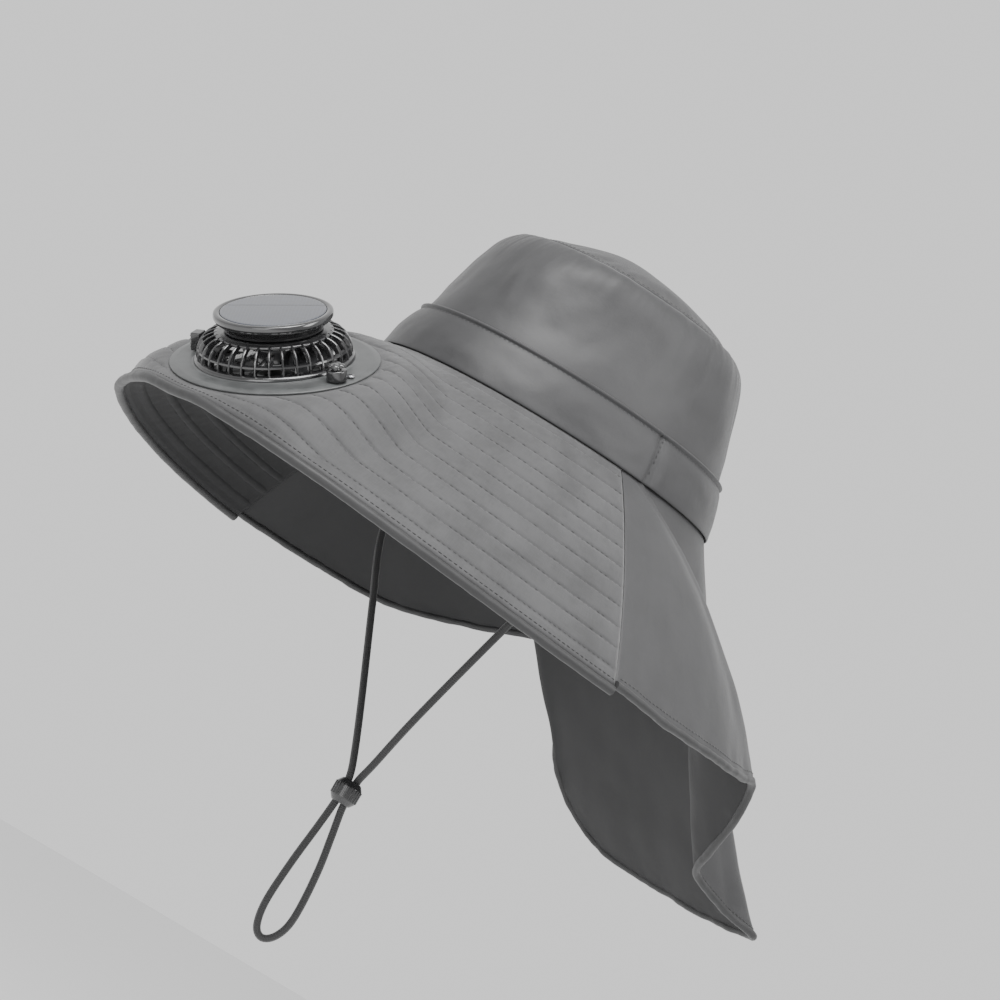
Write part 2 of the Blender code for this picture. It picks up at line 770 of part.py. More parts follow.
def cord_points():
    """The cord's centre line, read from a smooth curve through the chosen route."""
    knots = [Vector(point) for point in CORD_ROUTE]
    padded = [knots[0]] + knots + [knots[-1]]
    fine = []
    for four in zip(padded, padded[1:], padded[2:], padded[3:]):
        fine += [spline(*four, i / 20.0) for i in range(20)]
    fine.append(knots[-1])
    length = sum((b - a).length for a, b in zip(fine, fine[1:]))
    count = round(length / CORD_STEP)
    points, walked, wanted = [fine[0]], 0.0, 1
    for a, b in zip(fine, fine[1:]):
        step = (b - a).length
        while wanted < count and walked + step >= length * wanted / count:
            points.append(a.lerp(b, (length * wanted / count - walked) / step))
            wanted += 1
        walked += step
    return points + [fine[-1]]


def chin_cord(shop):
    tube(shop, "chin_cord", cord_points(), CORD_RADIUS, (BLACK_CLOTH, 0.8))


def cord_tabs(shop):
    """The cloth tabs inside the crown's foot that the cord is sewn to."""
    for name, side in (("cord_tab_left", 1.0), ("cord_tab_right", -1.0)):
        inner = HEAD_HALF_WIDTH - 2.0 * GAP
        top_lean = HEAD_HALF_WIDTH * (CROWN_WALL[0].size - CROWN_WALL[1].size)
        place = Vector((side * (inner - 0.5 * TAB_SIZE.x - top_lean), 0.0, CORD_ROUTE[0][2] + GAP + 0.5 * TAB_SIZE.z))
        form = bmesh.new()
        box_form(form, TAB_SIZE, place)
        shop.part(name, mesh_from(name, form), (BLACK_CLOTH, 0.7))


def cord_lock(shop):
    """A barrel round both strands, bored clear of them."""
    half = 0.5 * LOCK_HEIGHT
    profile = [
        (0.0, half),
        (0.72 * LOCK_RADIUS, half),
        (LOCK_RADIUS, 0.55 * half),
        (LOCK_RADIUS, -0.55 * half),
        (0.72 * LOCK_RADIUS, -half),
        (0.0, -half),
    ]
    item = shop.part("cord_lock", turned_mesh("cord_lock", profile, steps=24), (BLACK_PLASTIC, 0.35))
    item.location = LOCK_PLACE
    bore = CORD_RADIUS + LOCK_CLEARANCE
    for i, side in enumerate((1.0, -1.0)):
        mesh = turned_mesh("strand_bore", [(0.0, LOCK_HEIGHT), (bore, LOCK_HEIGHT), (bore, -LOCK_HEIGHT), (0.0, -LOCK_HEIGHT)], steps=16)
        cutter = shop.cutter(f"strand_bore_{i + 1}", mesh)
        cutter.location = LOCK_PLACE + STRAND_SPREAD * STRAND_OFFSET * side
        boolean(item, cutter, "DIFFERENCE")


def main():
    clear_scene()
    shop = Workshop()
    for make in (
        crown_tip,
        crown_wall,
        hat_band,
        brim,
        brim_binding,
        neck_cape,
        fan_plate,
        fan_cage,
        motor,
        fan_rotor,
        inner_guard,
        panel_neck,
        panel_bezel,
        solar_cell,
        button_boss,
        power_button,
        plate_screws,
        socket_block,
        cord_tabs,
        chin_cord,
        cord_lock,
    ):
        make(shop)
    bpy.context.view_layer.update()


main()
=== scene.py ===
import logging
import math
from dataclasses import dataclass, field
from enum import Enum
from typing import Callable, Optional, Sequence, Union

import bmesh
import bpy
from mathutils import Matrix, Vector, noise


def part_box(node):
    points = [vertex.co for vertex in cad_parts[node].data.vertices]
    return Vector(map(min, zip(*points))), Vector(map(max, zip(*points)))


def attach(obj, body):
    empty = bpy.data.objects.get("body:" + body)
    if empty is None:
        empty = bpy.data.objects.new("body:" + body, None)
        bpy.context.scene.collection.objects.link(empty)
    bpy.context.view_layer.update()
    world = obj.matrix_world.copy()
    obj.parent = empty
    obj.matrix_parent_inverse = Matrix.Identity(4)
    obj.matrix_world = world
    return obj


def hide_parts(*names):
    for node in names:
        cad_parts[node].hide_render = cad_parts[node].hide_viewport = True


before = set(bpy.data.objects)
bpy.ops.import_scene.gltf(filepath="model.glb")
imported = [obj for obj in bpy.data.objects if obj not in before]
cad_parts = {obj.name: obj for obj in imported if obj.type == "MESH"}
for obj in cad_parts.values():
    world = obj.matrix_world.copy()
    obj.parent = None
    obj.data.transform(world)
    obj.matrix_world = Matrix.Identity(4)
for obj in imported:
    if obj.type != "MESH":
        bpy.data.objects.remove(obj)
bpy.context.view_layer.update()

LOG = logging.getLogger("solar_fan_hat")

Colour = tuple[float, float, float]
Profile = Sequence[tuple[float, float]]
Rows = list[list[Vector]]
Operand = Union["Field", float, int]


# Node trees.


class Field:
    """One socket of a node tree; arithmetic on it adds Math nodes to that tree."""

    def __init__(self, graph: "Graph", socket: bpy.types.NodeSocket) -> None:
        """Holds a socket together with the graph that it belongs to."""
        self.graph = graph
        self.socket = socket

    def _math(self, operation: str, other: Operand, swapped: bool = False) -> "Field":
        """Joins this socket and another value in one Math node.

        Args:
            operation: The Math node's operation.
            other: The second value, a field or a number.
            swapped: True where the other value comes first.

        Returns:
            The result as a field.
        """
        pair = (other, self) if swapped else (self, other)
        return self.graph.math(operation, *pair)

    def __add__(self, other: Operand) -> "Field":
        """Adds."""
        return self._math("ADD", other)

    def __radd__(self, other: Operand) -> "Field":
        """Adds, the number first."""
        return self._math("ADD", other, swapped=True)

    def __sub__(self, other: Operand) -> "Field":
        """Subtracts."""
        return self._math("SUBTRACT", other)

    def __rsub__(self, other: Operand) -> "Field":
        """Subtracts from the number."""
        return self._math("SUBTRACT", other, swapped=True)

    def __mul__(self, other: Operand) -> "Field":
        """Multiplies."""
        return self._math("MULTIPLY", other)

    def __rmul__(self, other: Operand) -> "Field":
        """Multiplies, the number first."""
        return self._math("MULTIPLY", other, swapped=True)

    def __truediv__(self, other: Operand) -> "Field":
        """Divides."""
        return self._math("DIVIDE", other)

    def __rtruediv__(self, other: Operand) -> "Field":
        """Divides the number by this."""
        return self._math("DIVIDE", other, swapped=True)

    def __pow__(self, other: Operand) -> "Field":
        """Raises to a power."""
        return self._math("POWER", other)

    def __rpow__(self, other: Operand) -> "Field":
        """Raises the number to this power."""
        return self._math("POWER", other, swapped=True)

    def __mod__(self, other: Operand) -> "Field":
        """Takes the remainder."""
        return self._math("FLOORED_MODULO", other)

    def __rmod__(self, other: Operand) -> "Field":
        """Takes the number's remainder."""
        return self._math("FLOORED_MODULO", other, swapped=True)

    def __neg__(self) -> "Field":
        """Turns the sign."""
        return self * -1.0

    def __abs__(self) -> "Field":
        """Drops the sign."""
        return self.graph.math("ABSOLUTE", self)

    def sine(self) -> "Field":
        """Takes the sine of an angle in radians."""
        return self.graph.math("SINE", self)

    def above(self, limit: Operand) -> "Field":
        """Gives 1 where this is above the limit, and 0 elsewhere."""
        return self._math("GREATER_THAN", limit)

    def eased(self, low: float, high: float, start: float = 0.0, end: float = 1.0) -> "Field":
        """Maps low..high to start..end with a soft beginning and end.

        Args:
            low: The value that maps to start.
            high: The value that maps to end.
            start: The result at low.
            end: The result at high.

        Returns:
            The mapped value as a field.
        """
        ranges = {"Value": self, "From Min": low, "From Max": high, "To Min": start, "To Max": end}
        node = self.graph.node("ShaderNodeMapRange", ranges, interpolation_type="SMOOTHSTEP")
        return self.graph.field(node, "Result")


class Graph:
    """A node tree under construction, for a material or for Geometry Nodes."""

    def __init__(self, tree: bpy.types.NodeTree) -> None:
        """Takes over an empty tree."""
        self.tree = tree

    def node(
        self, kind: str, inputs: Optional[dict[Union[str, int], object]] = None, **settings: object
    ) -> bpy.types.Node:
        """Adds a node of any kind.

        Args:
            kind: The node's type name.
            inputs: Values, fields or sockets by input name or number.
            settings: The node's own properties.

        Returns:
            The new node.
        """
        made = self.tree.nodes.new(kind)
        for name, value in settings.items():
            setattr(made, name, value)
        for key, value in (inputs or {}).items():
            self.join(value, made.inputs[key])
        return made

    def join(self, value: object, target: bpy.types.NodeSocket) -> None:
        """Links a field or socket to an input, or sets the input to a plain value."""
        if isinstance(value, Field):
            value = value.socket
        if isinstance(value, bpy.types.NodeSocket):
            self.tree.links.new(value, target)
        else:
            target.default_value = value

    def field(self, node: bpy.types.Node, output: Union[str, int] = 0) -> Field:
        """Wraps one of a node's outputs."""
        return Field(self, node.outputs[output])

    def math(self, operation: str, *values: Operand) -> Field:
        """Adds one Math node.

        Args:
            operation: The node's operation.
            values: Its inputs in order.

        Returns:
            Its result.
        """
        return self.field(self.node("ShaderNodeMath", dict(enumerate(values)), operation=operation))

    def mixed(self, share: Operand, first: Union[Colour, Field], second: Union[Colour, Field]) -> Field:
        """Blends two colours.

        Args:
            share: How much of the second colour shows, from 0 to 1.
            first: The colour at 0.
            second: The colour at 1.

        Returns:
            The blended colour.
        """
        node = self.node("ShaderNodeMix", data_type="RGBA", clamp_factor=True)
        self.join(share, node.inputs["Factor"])
        for key, value in (("A", first), ("B", second)):
            socket = next(s for s in node.inputs if s.name == key and s.type == "RGBA")
            self.join(value if isinstance(value, Field) else (*value, 1.0), socket)
        return Field(self, next(s for s in node.outputs if s.type == "RGBA"))


class ShaderGraph(Graph):
    """A material's tree: one Principled surface and the patterns that feed it."""

    def __init__(self, name: str, colour: Colour) -> None:
        """Starts an opaque material.

        Args:
            name: The material's name.
            colour: Its colour where nodes aren't read.
        """
        self.material = bpy.data.materials.new(name)
        self.material.use_nodes = True
        self.material.diffuse_color = (*colour, 1.0)
        super().__init__(self.material.node_tree)
        self.tree.nodes.clear()
        output = self.node("ShaderNodeOutputMaterial")
        self.surface = self.node("ShaderNodeBsdfPrincipled", {"Base Color": (*colour, 1.0)})
        self.join(self.surface.outputs["BSDF"], output.inputs["Surface"])

    def set(self, **values: object) -> None:
        """Sets the surface's inputs, written with underscores for their spaces."""
        for key, value in values.items():
            self.join(value, self.surface.inputs[key.replace("_", " ").title().replace("Ior", "IOR")])

    def places(self) -> Field:
        """Gives the object coordinates, in metres."""
        return self.field(self.node("ShaderNodeTexCoord"), "Object")

    def cloth_axes(self) -> tuple[Field, Field]:
        """Gives the piece's own UV map as warp and weft lengths in metres."""
        split = self.node("ShaderNodeSeparateXYZ", {0: self.node("ShaderNodeUVMap", uv_map="Cut").outputs[0]})
        return self.field(split, "X"), self.field(split, "Y")

    def speckle(
        self, scale: float, detail: float = 3.0, stretch: Optional[Vector] = None, by_cut: bool = False
    ) -> Field:
        """Adds a noise pattern.

        Args:
            scale: Its frequency per metre.
            detail: Its number of octaves.
            stretch: How much each axis is scaled first.
            by_cut: True to follow the cut's UV map instead of the object's axes.

        Returns:
            The noise, from 0 to 1.
        """
        start = self.node("ShaderNodeUVMap", uv_map="Cut").outputs[0] if by_cut else self.places().socket
        mapped = self.node(
            "ShaderNodeMapping", {"Vector": start, "Scale": stretch or Vector((1.0, 1.0, 1.0))}
        )
        inputs = {"Vector": mapped.outputs[0], "Scale": scale, "Detail": detail, "Roughness": 0.55}
        return self.field(self.node("ShaderNodeTexNoise", inputs), 0)

    def relief(self, height: Field, depth: float, under: Optional[Field] = None) -> Field:
        """Adds a bump.

        Args:
            height: The pattern's height, from 0 to 1.
            depth: How far 1 stands out, in metres.
            under: A coarser bump that this one lies on.

        Returns:
            The bent normal.
        """
        inputs: dict[Union[str, int], object] = {"Height": height, "Distance": depth, "Strength": 1.0}
        if under is not None:
            inputs["Normal"] = under
        return self.field(self.node("ShaderNodeBump", inputs))


class GrowthGraph(Graph):
    """A Geometry Nodes tree with named inputs, ended in Realize Instances and Set Material."""

    def __init__(self, name: str, sizes: dict[str, str]) -> None:
        """Starts a tree.

        Args:
            name: The tree's name.
            sizes: Its inputs' names and kinds, after the geometry.
        """
        super().__init__(bpy.data.node_groups.new(name, "GeometryNodeTree"))
        ports = self.tree.interface
        ports.new_socket(name="Geometry", in_out="INPUT", socket_type="NodeSocketGeometry")
        for title, kind in {**sizes, "Material": "Material"}.items():
            ports.new_socket(name=title, in_out="INPUT", socket_type=f"NodeSocket{kind}")
        ports.new_socket(name="Geometry", in_out="OUTPUT", socket_type="NodeSocketGeometry")
        self.start = self.tree.nodes.new("NodeGroupInput")
        self.end = self.tree.nodes.new("NodeGroupOutput")

    def given(self, title: str) -> Field:
        """Gives one of the tree's inputs."""
        return self.field(self.start, title)

    def close(self, geometry: Field, smooth: bool = True) -> bpy.types.NodeTree:
        """Ends the tree.

        Args:
            geometry: What it makes.
            smooth: Whether its faces shade smoothly.

        Returns:
            The finished tree.
        """
        real = self.node("GeometryNodeRealizeInstances", {"Geometry": geometry})
        shade = self.node("GeometryNodeSetShadeSmooth", {0: real.outputs[0], "Shade Smooth": smooth})
        dress = self.node(
            "GeometryNodeSetMaterial", {"Geometry": shade.outputs[0], "Material": self.given("Material")}
        )
        self.join(dress.outputs[0], self.end.inputs[0])
        return self.tree


def grown(
    name: str, carrier: bpy.types.Object, tree: bpy.types.NodeTree, sizes: dict[str, object]
) -> bpy.types.Object:
    """Runs a Geometry Nodes tree on an object and keeps the result as a plain mesh.

    Args:
        name: The new piece's name.
        carrier: The object that the tree starts from, which is removed.
        tree: The tree.
        sizes: Values of its named inputs.

    Returns:
        The piece, at the origin.
    """
    modifier = carrier.modifiers.new("grow", "NODES")
    modifier.node_group = tree
    for port in tree.interface.items_tree:
        if port.item_type == "SOCKET" and port.in_out == "INPUT" and port.name in sizes:
            modifier[port.identifier] = sizes[port.name]
    carrier.update_tag()
    bpy.context.view_layer.update()
    mesh = bpy.data.meshes.new_from_object(carrier.evaluated_get(bpy.context.evaluated_depsgraph_get()))
    mesh.name = name
    bpy.data.objects.remove(carrier, do_unlink=True)
    item = bpy.data.objects.new(name, mesh)
    bpy.context.scene.collection.objects.link(item)
    return item


def copies_in_a_ring() -> bpy.types.NodeTree:
    """Builds the tree that sets copies of a part evenly round the local Z axis.

    Returns:
        The tree, with the inputs Count and First Turn.
    """
    graph = GrowthGraph("copies_in_a_ring", {"Count": "Int", "First Turn": "Float"})
    points = graph.node("GeometryNodeMeshLine", {"Count": graph.given("Count"), "Offset": (0.0, 0.0, 0.0)})
    number = graph.field(graph.node("GeometryNodeInputIndex"))
    turn = number * math.tau / graph.given("Count") + graph.given("First Turn")
    rotation = graph.node("ShaderNodeCombineXYZ", {"Z": turn})
    inputs = {
        "Points": points.outputs[0], "Instance": graph.given("Geometry"), "Rotation": rotation.outputs[0]
    }
    placed = graph.node("GeometryNodeInstanceOnPoints", inputs)
    return graph.close(graph.field(placed))


def stitches_on_cloth() -> bpy.types.NodeTree:
    """Builds the tree that lays stitches along lines, down on the nearest cloth.

    Returns:
        The tree, with the inputs Cloth, Pitch, Stitch Length, Thread Radius and Sink.
    """
    sizes = {
        "Cloth": "Object", "Pitch": "Float", "Stitch Length": "Float", "Thread Radius": "Float",
        "Sink": "Float"
    }
    graph = GrowthGraph("stitches_on_cloth", sizes)
    line = graph.node("GeometryNodeMeshToCurve", {"Mesh": graph.given("Geometry")})
    steps = graph.node(
        "GeometryNodeCurveToPoints", {"Curve": line.outputs[0], "Length": graph.given("Pitch")},
        mode="LENGTH"
    )
    cloth = graph.node("GeometryNodeObjectInfo", {"Object": graph.given("Cloth")}, transform_space="RELATIVE")
    spot = graph.node("GeometryNodeProximity", {0: cloth.outputs["Geometry"]}, target_element="FACES")
    facing = graph.node("GeometryNodeInputNormal")
    nearest = graph.node(
        "GeometryNodeSampleNearestSurface", {"Mesh": cloth.outputs["Geometry"]}, data_type="FLOAT_VECTOR"
    )
    graph.join(facing.outputs[0], next(s for s in nearest.inputs if s.name == "Value" and s.enabled))
    normal = next(s for s in nearest.outputs if s.name == "Value" and s.enabled)
    lift = graph.node("ShaderNodeVectorMath", {0: normal, "Scale": -graph.given("Sink")}, operation="SCALE")
    seat = graph.node(
        "ShaderNodeVectorMath", {0: spot.outputs["Position"], 1: lift.outputs[0]}, operation="ADD"
    )
    along = graph.node("FunctionNodeAlignRotationToVector", {"Vector": steps.outputs["Tangent"]}, axis="X")
    flat = graph.node(
        "FunctionNodeAlignRotationToVector",
        {"Rotation": along.outputs[0], "Vector": normal},
        axis="Z",
        pivot_axis="X",
    )
    seated = graph.node("GeometryNodeSetPosition", {0: steps.outputs["Points"], "Position": seat.outputs[0]})
    bead = graph.node("GeometryNodeMeshUVSphere", {"Segments": 6, "Rings": 4, "Radius": 1.0})
    half = graph.given("Stitch Length") * 0.5
    shape = graph.node(
        "ShaderNodeCombineXYZ", {0: half, 1: graph.given("Thread Radius"), 2: graph.given("Thread Radius")}
    )
    inputs = {
        "Points": seated.outputs[0], "Instance": bead.outputs[0], "Rotation": flat.outputs[0],
        "Scale": shape.outputs[0]
    }
    placed = graph.node("GeometryNodeInstanceOnPoints", inputs)
    return graph.close(graph.field(placed))


def rolled_edge() -> bpy.types.NodeTree:
    """Builds the tree that rolls a soft, slightly crumpled hem along lines.

    Returns:
        The tree, with the inputs Radius, Crumple and Crumple Size.
    """
    graph = GrowthGraph("rolled_edge", {"Radius": "Float", "Crumple": "Float", "Crumple Size": "Float"})
    line = graph.node("GeometryNodeMeshToCurve", {"Mesh": graph.given("Geometry")})
    even = graph.node(
        "GeometryNodeResampleCurve", {"Curve": line.outputs[0], "Length": 0.0012}, mode="LENGTH"
    )
    ring = graph.node("GeometryNodeCurvePrimitiveCircle", {"Resolution": 16, "Radius": graph.given("Radius")})
    inputs = {"Curve": even.outputs[0], "Profile Curve": ring.outputs[0], "Fill Caps": True}
    roll = graph.node("GeometryNodeCurveToMesh", inputs)
    place = graph.node("GeometryNodeInputPosition")
    waves = {"Vector": place.outputs[0], "Scale": 1.0 / graph.given("Crumple Size"), "Detail": 2.0}
    wave = graph.field(graph.node("ShaderNodeTexNoise", waves)) - 0.5
    facing = graph.node("GeometryNodeInputNormal")
    push = {0: facing.outputs[0], "Scale": wave * 2.0 * graph.given("Crumple")}
    offset = graph.node("ShaderNodeVectorMath", push, operation="SCALE")
    soft = graph.node("GeometryNodeSetPosition", {0: roll.outputs[0], "Offset": offset.outputs[0]})
    return graph.close(graph.field(soft))


# Finishes.


@dataclass(frozen=True)
class ClothFinish:
    """A woven black cloth, with the lengths of its weave in metres."""

    name: str
    colour: Colour
    roughness: float
    sheen: float
    pitch: float = 0.00042
    depth: float = 0.00004
    mottle: float = 0.25
    crinkle: float = 0.00012

    def material(self) -> bpy.types.Material:
        """Builds the cloth: a plain weave with slubs, soft crinkles and a faint sheen.

        Returns:
            The material.
        """
        shade = ShaderGraph(self.name, self.colour)
        warp, weft = shade.cloth_axes()
        turn = math.tau / self.pitch
        weave = (warp * turn).sine() * (weft * turn).sine() * 0.5 + 0.5
        slub_across = shade.speckle(1.0, 2.0, Vector((2600.0, 160.0, 1.0)), by_cut=True)
        slub_down = shade.speckle(1.0, 2.0, Vector((160.0, 2600.0, 1.0)), by_cut=True)
        slub = (slub_across + slub_down) * 0.5
        cloud = shade.speckle(38.0, 4.0)
        dark = tuple(c * (1.0 - self.mottle) for c in self.colour)
        pale = tuple(c * (1.0 + self.mottle) for c in self.colour)
        tone = (slub * 0.5 + cloud * 0.5).eased(0.36, 0.64)
        rubbed = shade.mixed(tone, dark, pale)
        shade.set(base_color=rubbed, roughness=self.roughness + (slub - 0.5) * 0.25 + (cloud - 0.5) * 0.2)
        shade.set(sheen_weight=self.sheen, sheen_roughness=0.45, specular_ior_level=0.42)
        soft = shade.relief(shade.speckle(95.0, 3.0), self.crinkle)
        threads = shade.relief(weave * 0.6 + slub * 0.4, self.depth, under=soft)
        shade.set(normal=threads)
        return shade.material


@dataclass(frozen=True)
class ThreadFinish:
    """Sewing thread or braided cord, twisted along its length."""

    name: str
    colour: Colour
    roughness: float = 0.7
    braid: float = 0.0
    around: float = 1.0

    def material(self) -> bpy.types.Material:
        """Builds the thread; a braid follows the cord's own UV map, and its hollows are painted darker as
        shade.

        Returns:
            The material.
        """
        shade = ShaderGraph(self.name, self.colour)
        fuzz = shade.speckle(1400.0, 2.0)
        height = fuzz
        depth = 0.00003
        if self.braid > 0.0:
            along, around = shade.cloth_axes()
            over = (along * (math.tau / self.braid) + around * (math.tau * 4.0 / self.around)).sine()
            under = (along * (math.tau / self.braid) - around * (math.tau * 4.0 / self.around)).sine()
            height = over * under * 0.35 + 0.5 + fuzz * 0.15
            depth = 0.00022
        # Low places of the pattern are painted darker: painted shade in the braid's hollows, and random tone
        # from the fuzz on plain thread.
        dark = tuple(c * 0.55 for c in self.colour)
        shade.set(base_color=shade.mixed(height.eased(0.2, 0.8), dark, self.colour))
        shade.set(roughness=self.roughness + (fuzz - 0.5) * 0.2, sheen_weight=0.25, sheen_roughness=0.5)
        shade.set(normal=shade.relief(height, depth))
        return shade.material


@dataclass(frozen=True)
class MouldedFinish:
    """Moulded plastic: its gloss, its grain and the rubbed look of its faces."""

    name: str
    colour: Colour
    roughness: float
    coat: float = 0.0
    grain: float = 0.00001
    grain_scale: float = 2400.0
    waver: float = 0.00003

    def material(self) -> bpy.types.Material:
        """Builds the plastic with a fine grain, slight waves and dulled patches.

        Returns:
            The material.
        """
        shade = ShaderGraph(self.name, self.colour)
        patch = shade.speckle(120.0, 4.0)
        fine = shade.speckle(self.grain_scale, 2.0)
        lifted = tuple(min(1.0, c * 1.35 + 0.002) for c in self.colour)
        shade.set(base_color=shade.mixed(patch.eased(0.35, 0.7), self.colour, lifted))
        shade.set(roughness=self.roughness + patch.eased(0.45, 0.75, 0.0, 0.09), coat_weight=self.coat)
        shade.set(coat_roughness=0.05, specular_ior_level=0.5)
        waves = shade.relief(shade.speckle(160.0, 1.0), self.waver)
        shade.set(normal=shade.relief(fine, self.grain, under=waves))
        return shade.material


@dataclass(frozen=True)
class MetalFinish:
    """Turned or plated steel."""

    name: str
    colour: Colour
    roughness: float

    def material(self) -> bpy.types.Material:
        """Builds the steel with fine scratches.

        Returns:
            The material.
        """
        shade = ShaderGraph(self.name, self.colour)
        scratch = shade.speckle(900.0, 3.0, Vector((1.0, 6.0, 1.0)))
        dull = tuple(c * 0.6 for c in self.colour)
        shade.set(base_color=shade.mixed(scratch.eased(0.3, 0.7), dull, self.colour), metallic=1.0)
        shade.set(roughness=self.roughness + scratch * 0.2, normal=shade.relief(scratch, 0.00001))
        return shade.material


@dataclass(frozen=True)
class CellFinish:
    """The solar cell's dark silicon under its clear face."""

    name: str
    colour: Colour
    line: Colour
    finger_pitch: float = 0.0017
    gap_place: float = 0.0075
    gap_width: float = 0.0005

    def material(self) -> bpy.types.Material:
        """Builds the cell; its map's first axis runs along the gap between the halves.

        Returns:
            The material.
        """
        shade = ShaderGraph(self.name, self.colour)
        along, across = shade.cloth_axes()
        gap = 1.0 - abs(across - self.gap_place).eased(self.gap_width * 0.4, self.gap_width * 0.9)
        finger = 1.0 - abs((along % self.finger_pitch) - self.finger_pitch * 0.5).eased(0.00003, 0.00012)
        crystal = shade.speckle(260.0, 2.0)
        pale = tuple(c * 1.5 for c in self.colour)
        silicon = shade.mixed(crystal.eased(0.35, 0.65), self.colour, pale)
        lined = shade.mixed(finger * 0.16, silicon, self.line)
        shade.set(base_color=shade.mixed(gap, lined, (0.004, 0.004, 0.005)))
        shade.set(
            roughness=0.30 + crystal * 0.06, coat_weight=1.0 - gap * 0.7, coat_roughness=0.06, coat_ior=1.5
        )
        shade.set(normal=shade.relief(1.0 - gap, 0.0002))
        return shade.material


class Finish(Enum):
    """The hat's finishes, one for each of the record's slots or for a trim on it."""

    CROWN = ClothFinish("crown_nylon", (0.026, 0.026, 0.027), 0.50, 0.10, mottle=0.16, crinkle=0.00022)
    BAND = ClothFinish("band_nylon", (0.021, 0.021, 0.022), 0.48, 0.10, mottle=0.15, crinkle=0.0002)
    BRIM = ClothFinish("brim_twill", (0.042, 0.042, 0.043), 0.66, 0.20, mottle=0.30, crinkle=0.0001)
    # The brim's underside: the brim's cloth painted far darker than its top, as painted shade under the brim.
    BRIM_UNDERSIDE_SHADE = ClothFinish("brim_underside_painted_shade", (0.007, 0.007, 0.0075), 0.8, 0.02, mottle=0.2)
    HEM = ClothFinish("hem_nylon", (0.018, 0.018, 0.0185), 0.56, 0.1, mottle=0.25, crinkle=0.0003)
    CAPE = ClothFinish("cape_nylon", (0.028, 0.028, 0.029), 0.54, 0.10, mottle=0.15, crinkle=0.00022)
    # The cape's inner face: the cape's cloth painted darker than its outside, as painted shade inside the
    # cape.
    CAPE_INSIDE_SHADE = ClothFinish("cape_inside_painted_shade", (0.010, 0.010, 0.0105), 0.7, 0.04, mottle=0.2)
    TAB = ClothFinish("tab_webbing", (0.016, 0.016, 0.016), 0.75, 0.1, pitch=0.0009, depth=0.0001)
    THREAD = ThreadFinish("sewing_thread", (0.012, 0.012, 0.0125))
    QUILT_THREAD = ThreadFinish("quilt_thread", (0.018, 0.018, 0.0185))
    CORD = ThreadFinish("braided_cord", (0.016, 0.016, 0.0165), 0.72, braid=0.0024, around=0.0126)
    PLATE = MouldedFinish("plate_satin", (0.045, 0.047, 0.047), 0.34, 0.0, 0.00002)
    CAGE = MouldedFinish("cage_gloss", (0.010, 0.010, 0.0105), 0.16, 0.6)
    BEZEL = MouldedFinish("bezel_gloss", (0.012, 0.012, 0.0125), 0.12, 0.8)
    ROTOR = MouldedFinish("rotor_gloss", (0.020, 0.020, 0.021), 0.18, 0.5)
    GUARD = MouldedFinish("guard_matt", (0.014, 0.014, 0.0145), 0.4)
    BUTTON = MouldedFinish("button_gloss", (0.016, 0.016, 0.0165), 0.14, 0.7)
    LOCK = MouldedFinish("lock_satin", (0.015, 0.015, 0.0155), 0.32, 0.2)
    MOTOR = MetalFinish("motor_steel", (0.45, 0.45, 0.46), 0.3)
    SCREW = MetalFinish("screw_black_steel", (0.30, 0.30, 0.31), 0.25)
    CELL = CellFinish("cell_face", (0.012, 0.015, 0.024), (0.20, 0.20, 0.21))


@dataclass
class Wardrobe:
    """Makes each finish's material once."""

    made: dict[Finish, bpy.types.Material] = field(default_factory=dict)

    def get(self, finish: Finish) -> bpy.types.Material:
        """Gives the finish's material, made at its first use.

        Args:
            finish: Which finish.

        Returns:
            Its material.
        """
        if finish not in self.made:
            self.made[finish] = finish.value.material()
        return self.made[finish]


# Mesh forms.


def smooth_step(share: float) -> float:
    """Eases a share from 0 to 1."""
    share = min(max(share, 0.0), 1.0)
    return share * share * (3.0 - 2.0 * share)


def spline(before: object, start: object, end: object, after: object, share: float) -> object:
    """Gives a point of the Catmull-Rom curve between start and end.

    Args:
        before: The knot before start, a number or a vector as all four are.
        start: The knot where the share is 0.
        end: The knot where the share is 1.
        after: The knot after end.
        share: How far along, from 0 to 1.

    Returns:
        The point.
    """
    bend = 2.0 * before - 5.0 * start + 4.0 * end - after
    twist = 3.0 * (start - end) + after - before
    return 0.5 * (2.0 * start + (end - before) * share + bend * share**2 + twist * share**3)


def smooth_run(knots: Sequence[object], steps: int) -> list[object]:
    """Reads a smooth curve through knots.

    Args:
        knots: Numbers or vectors.
        steps: Points for each gap between knots.

    Returns:
        The curve's points.
    """
    padded = [knots[0], *knots, knots[-1]]
    fine = []
    for four in zip(padded, padded[1:], padded[2:], padded[3:]):
        fine += [spline(*four, i / steps) for i in range(steps)]
    return fine + [knots[-1]]


def even_run(points: Sequence[Vector], pitch: float) -> list[Vector]:
    """Walks along points and gives new ones at an even pitch.

    Args:
        points: A fine line.
        pitch: The wanted distance, in metres.

    Returns:
        Points a whole number of equal steps apart.
    """
    length = sum((b - a).length for a, b in zip(points, points[1:]))
    count = max(1, round(length / pitch))
    found, walked, wanted = [points[0].copy()], 0.0, 1
    for a, b in zip(points, points[1:]):
        step = (b - a).length
        while wanted < count and walked + step >= length * wanted / count:
            found.append(a.lerp(b, (length * wanted / count - walked) / step))
            wanted += 1
        walked += step
    return found + [points[-1].copy()]


def linked(name: str, mesh: bpy.types.Mesh) -> bpy.types.Object:
    """Puts a mesh into the scene at the origin."""
    item = bpy.data.objects.new(name, mesh)
    bpy.context.scene.collection.objects.link(item)
    return item


